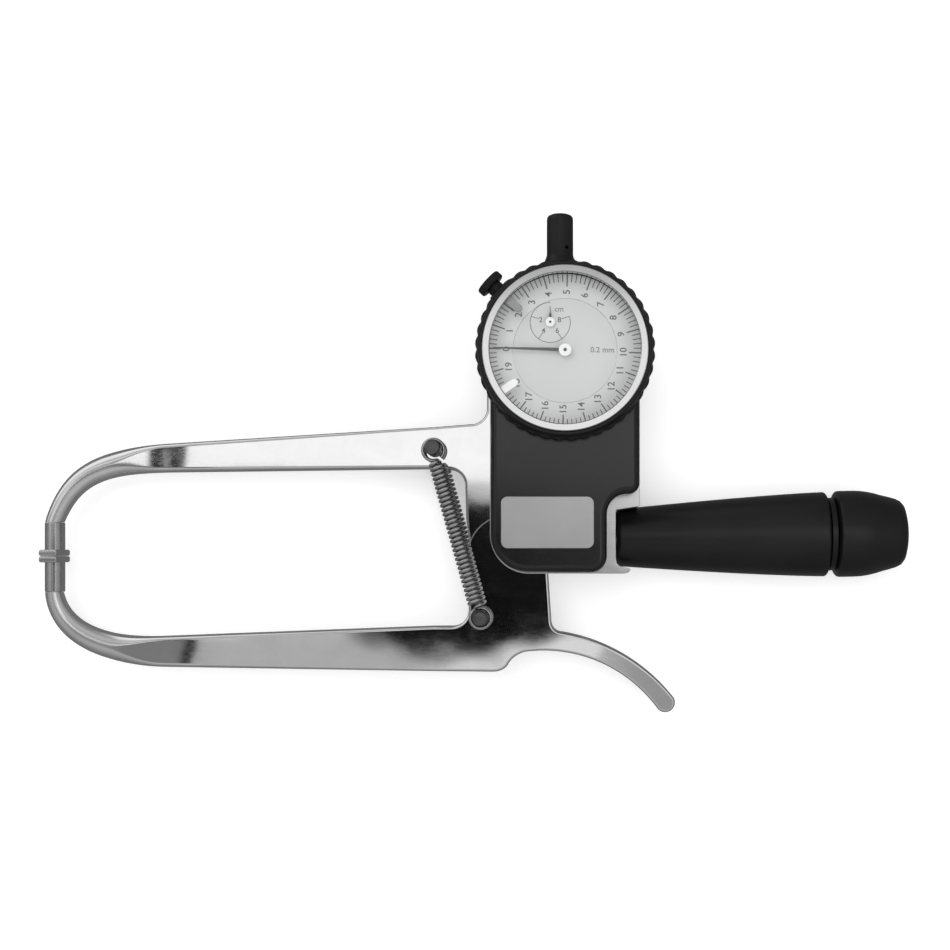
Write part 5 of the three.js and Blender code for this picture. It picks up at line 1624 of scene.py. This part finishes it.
# %% The large scale
ZERO = 178.3
MARKS, NUMBERS = 100, 20
LINES_END = 24.2
marks = []
for i in range(MARKS):
    longer = i % (MARKS // NUMBERS) == 0
    start, width = (20.3, 0.42) if longer else (21.7, 0.3)
    marks.append(printed_line(start, LINES_END, width, ZERO - 360 / MARKS * i))
print_piece("scale_lines", marks, ink, "bezel")
numbers = [
    printed_text(str(k), 3.1, polar(18.55, ZERO - 360 / NUMBERS * k), 90) for k in range(NUMBERS)
]
print_piece("scale_numbers", numbers, ink, "bezel")

# %% The small scale and the units
ARC_INNER, ARC_OUTER = 6.25, 6.45
ARC_START, ARC_SWEEP = 90, 288
small_print = [printed_line(3.8, 6.35, 0.2, angle, SMALL) for angle in (162, 234, 306, 18)]
for words, x, y in (("2", -3.0, 0.8), ("4", -2.1, -2.6), ("6", 2.2, -2.6), ("8", 2.9, 0.8)):
    small_print.append(printed_text(words, 2.3, (SMALL[0] + x, SMALL[1] + y), 0))
arc = bmesh.new()
low, high = PRINT
arc_end = ((ARC_INNER, low), (ARC_OUTER, low), (ARC_OUTER, high), (ARC_INNER, high))
start_face = arc.faces.new([arc.verts.new((radius, 0, height)) for radius, height in arc_end])
spun(arc, [start_face], (0, 0), math.radians(ARC_SWEEP), 72)
small_print.append(moved(close_skin(arc), shift((*SMALL, 0)) @ turn(ARC_START)))
print_piece("small_scale", small_print, ink, "frame")
words = [printed_text("0.2 mm", 2.5, (11.8, 0.2), 0), printed_text("cm", 2.4, (-1.9, 13.1), 0)]
print_piece("unit_words", words, pale_ink, "frame")

# %% [markdown]
# ## The hands
# The long hand tapers from its boss to a fine tip at the zero. The short one has a spade
# tip. Both are stamped sheet, so they are traced, raised and left with sharp edges, and a
# pale boss with a dark rivet covers the place where each one turns.

# %% Hands
LONG_HAND = (37.9, 38.35)
SHORT_HAND = (36.9, 37.2)
# The needle's length from the centre, and its half widths.
NEEDLE_LENGTH, NEEDLE_ROOT, NEEDLE_TIP = 22.8, 0.62, 0.16


def hand(outline, boss, heights, place, angle):
    """A stamped hand: an outline with a round boss, turned to an angle at its place."""
    blade = raised(outline, *heights)
    made = boolean(blade, [rod(boss, *heights)], "UNION")
    return moved(made, shift(place) @ turn(angle))


def cap_pieces(name, body, place, boss, boss_steps, rivet, rivet_steps):
    boss, rivet = turned(boss, boss_steps), turned(rivet, rivet_steps)
    piece(name + "_boss", moved(boss, shift(place)), white_enamel_and_painted_highlight, body)
    piece(name + "_rivet", moved(rivet, shift(place)), hand_black, body)


tail = (-0.6 * NEEDLE_ROOT, NEEDLE_ROOT)
needle = traced(
    (tail[0], -tail[1]), [(NEEDLE_LENGTH, -NEEDLE_TIP), (NEEDLE_LENGTH, NEEDLE_TIP), tail]
)
long_hand = hand(needle, 1.3, LONG_HAND, DIAL_CENTRE, ZERO)
piece("long_hand", long_hand, hand_black, "centre", ["main_hand"])
cap_pieces(
    "long_hand",
    "centre",
    DIAL_CENTRE,
    [(0, 38.36), (1.9, 38.36), (1.98, 38.42), (1.98, 38.55), (1.9, 38.6), (0, 38.6)],
    64,
    [(0, 38.61), (0.55, 38.61), (0.5, 38.8), (0, 38.85)],
    32,
)
counter_place = DIAL_CENTRE + Vector((*SMALL, 0))
spade = traced(
    (0.3, -0.16),
    [
        (1.2, -0.16),
        (1.6, -0.5, 2.3, -0.42),
        (3.0, -0.12),
        (5.0, -0.08),
        (5.0, 0.08),
        (3.0, 0.12),
        (2.3, 0.42),
        (1.6, 0.5, 1.2, 0.16),
        (0.3, 0.16),
    ],
)
short_hand = hand(spade, 0.8, SHORT_HAND, counter_place, 90)
piece("short_hand", short_hand, hand_black, "counter", ["small_hand"])
cap_pieces(
    "short_hand",
    "counter",
    counter_place,
    [(0, 37.21), (1.45, 37.21), (1.5, 37.3), (1.45, 37.42), (0, 37.42)],
    48,
    [(0, 37.43), (0.4, 37.43), (0.36, 37.56), (0, 37.58)],
    24,
)

# %% [markdown]
# ## Markers and clamp
# Two small tolerance markers lie over the crystal and slide round under the silver ring.
# They are alike, but one is painted white as a painted highlight and the other grey as
# painted shade. A thumb screw on a block beside the bezel locks it. Its knurled rim is drawn
# in like the bezel's lobes, only finer.

# %% Markers
MARKER = (41.4, 41.9)
MARKER_START, MARKER_END, MARKER_HALF_WIDTH = 19.35, 25.4, 1.25
# The white tab carries a painted highlight and the grey tab painted shade.
for name, angle, paint, body, slot_name in (
    ("tolerance_marker_low", 213.8, white_enamel_and_painted_highlight, "marker_low", "marker_white"),
    ("tolerance_marker_high", 139.4, grey_painted_shade, "marker_high", "marker_grey"),
):
    tab = traced(
        (MARKER_START, -MARKER_HALF_WIDTH),
        [
            (MARKER_END, -MARKER_HALF_WIDTH),
            (MARKER_END, MARKER_HALF_WIDTH),
            (MARKER_START, MARKER_HALF_WIDTH),
            (MARKER_START, 0, 180),
        ],
    )
    tab = rounded(raised(tab, *MARKER), 0.12, 2, SHARP, edge_at(MARKER[1]))
    tab = moved(tab, shift(DIAL_CENTRE) @ turn(angle))
    piece(name + "_tab", tab, paint, body, [name])

# %% Clamp
CLAMP_HEIGHT, CLAMP_ANGLE = 28.8, 136.9
KNOB = 4.5
KNURLS, KNURL_DEPTH = 36, 0.04
clamp_matrix = shift((*DIAL_CENTRE.xy, CLAMP_HEIGHT)) @ turn(CLAMP_ANGLE)
clamp_block = rounded(block((26.3, 29.3), (-4, 4), (-4.2, 4.2)), 0.6, 3)
clamp_block = boolean(clamp_block, [moved(rod(1.7, 25, 31), turn(90, "Y"))])
clamp_block = moved(clamp_block, clamp_matrix)
piece("clamp_lug", clamp_block, bezel_black, "frame", ["bezel_clamp_block"])
knob = turned(
    [
        (0, 26.8),
        (1.4, 26.8),
        (1.4, 29.6),
        (2.6, 29.6),
        (2.6, 31.5),
        (KNOB - 0.3, 31.5),
        (KNOB, 31.75),
        (KNOB, 33.75),
        (KNOB - 0.3, 34.1),
        (3.2, 34.1),
        (3.0, 33.9),
        (0, 33.9),
    ],
    144,
)
for v in knob.verts:
    if v.co.xy.length > KNOB - 0.1:
        notch = abs(math.sin(math.atan2(v.co.y, v.co.x) * KNURLS / 2))
        v.co.xy *= 1 - KNURL_DEPTH * (1 - notch)
knob = moved(knob, clamp_matrix @ turn(90, "Y"))
piece(
    "clamp_thumb_screw", knob, bezel_black, "clamp_screw", ["bezel_clamp_screw"]
)

# %% [markdown]
# ## The parts inside
# Pins, gears and the spindle keep their CAD shape, since they are seen only through a slot
# or not at all. Each still gets a real finish, so that nothing is left plain.

# %% Finishes for the CAD parts
kept = []
for node_name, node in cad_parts.items():
    if node.hide_render:
        continue
    kept.append(node_name)
    finish = plate_steel
    if any(word in node_name for word in ("pin", "rod", "spindle", "tip")):
        finish = pin_steel
    if any(word in node_name for word in ("bush", "wheel", "pinion")):
        finish = brass
    if "screw" in node_name:
        finish = dark_steel
    if not node.material_slots:
        node.data.materials.append(finish)
    for used in node.material_slots:
        used.link = "OBJECT"
        used.material = finish
print("kept CAD parts:", ", ".join(kept))
print("new pieces:", len(piece_faces), "faces:", sum(piece_faces.values()))

# %% [markdown]
# ## The view transform
# The scene's colours are shown with the standard view transform.

# %% View transform
scene = bpy.context.scene
scene.view_settings.view_transform = "Standard"
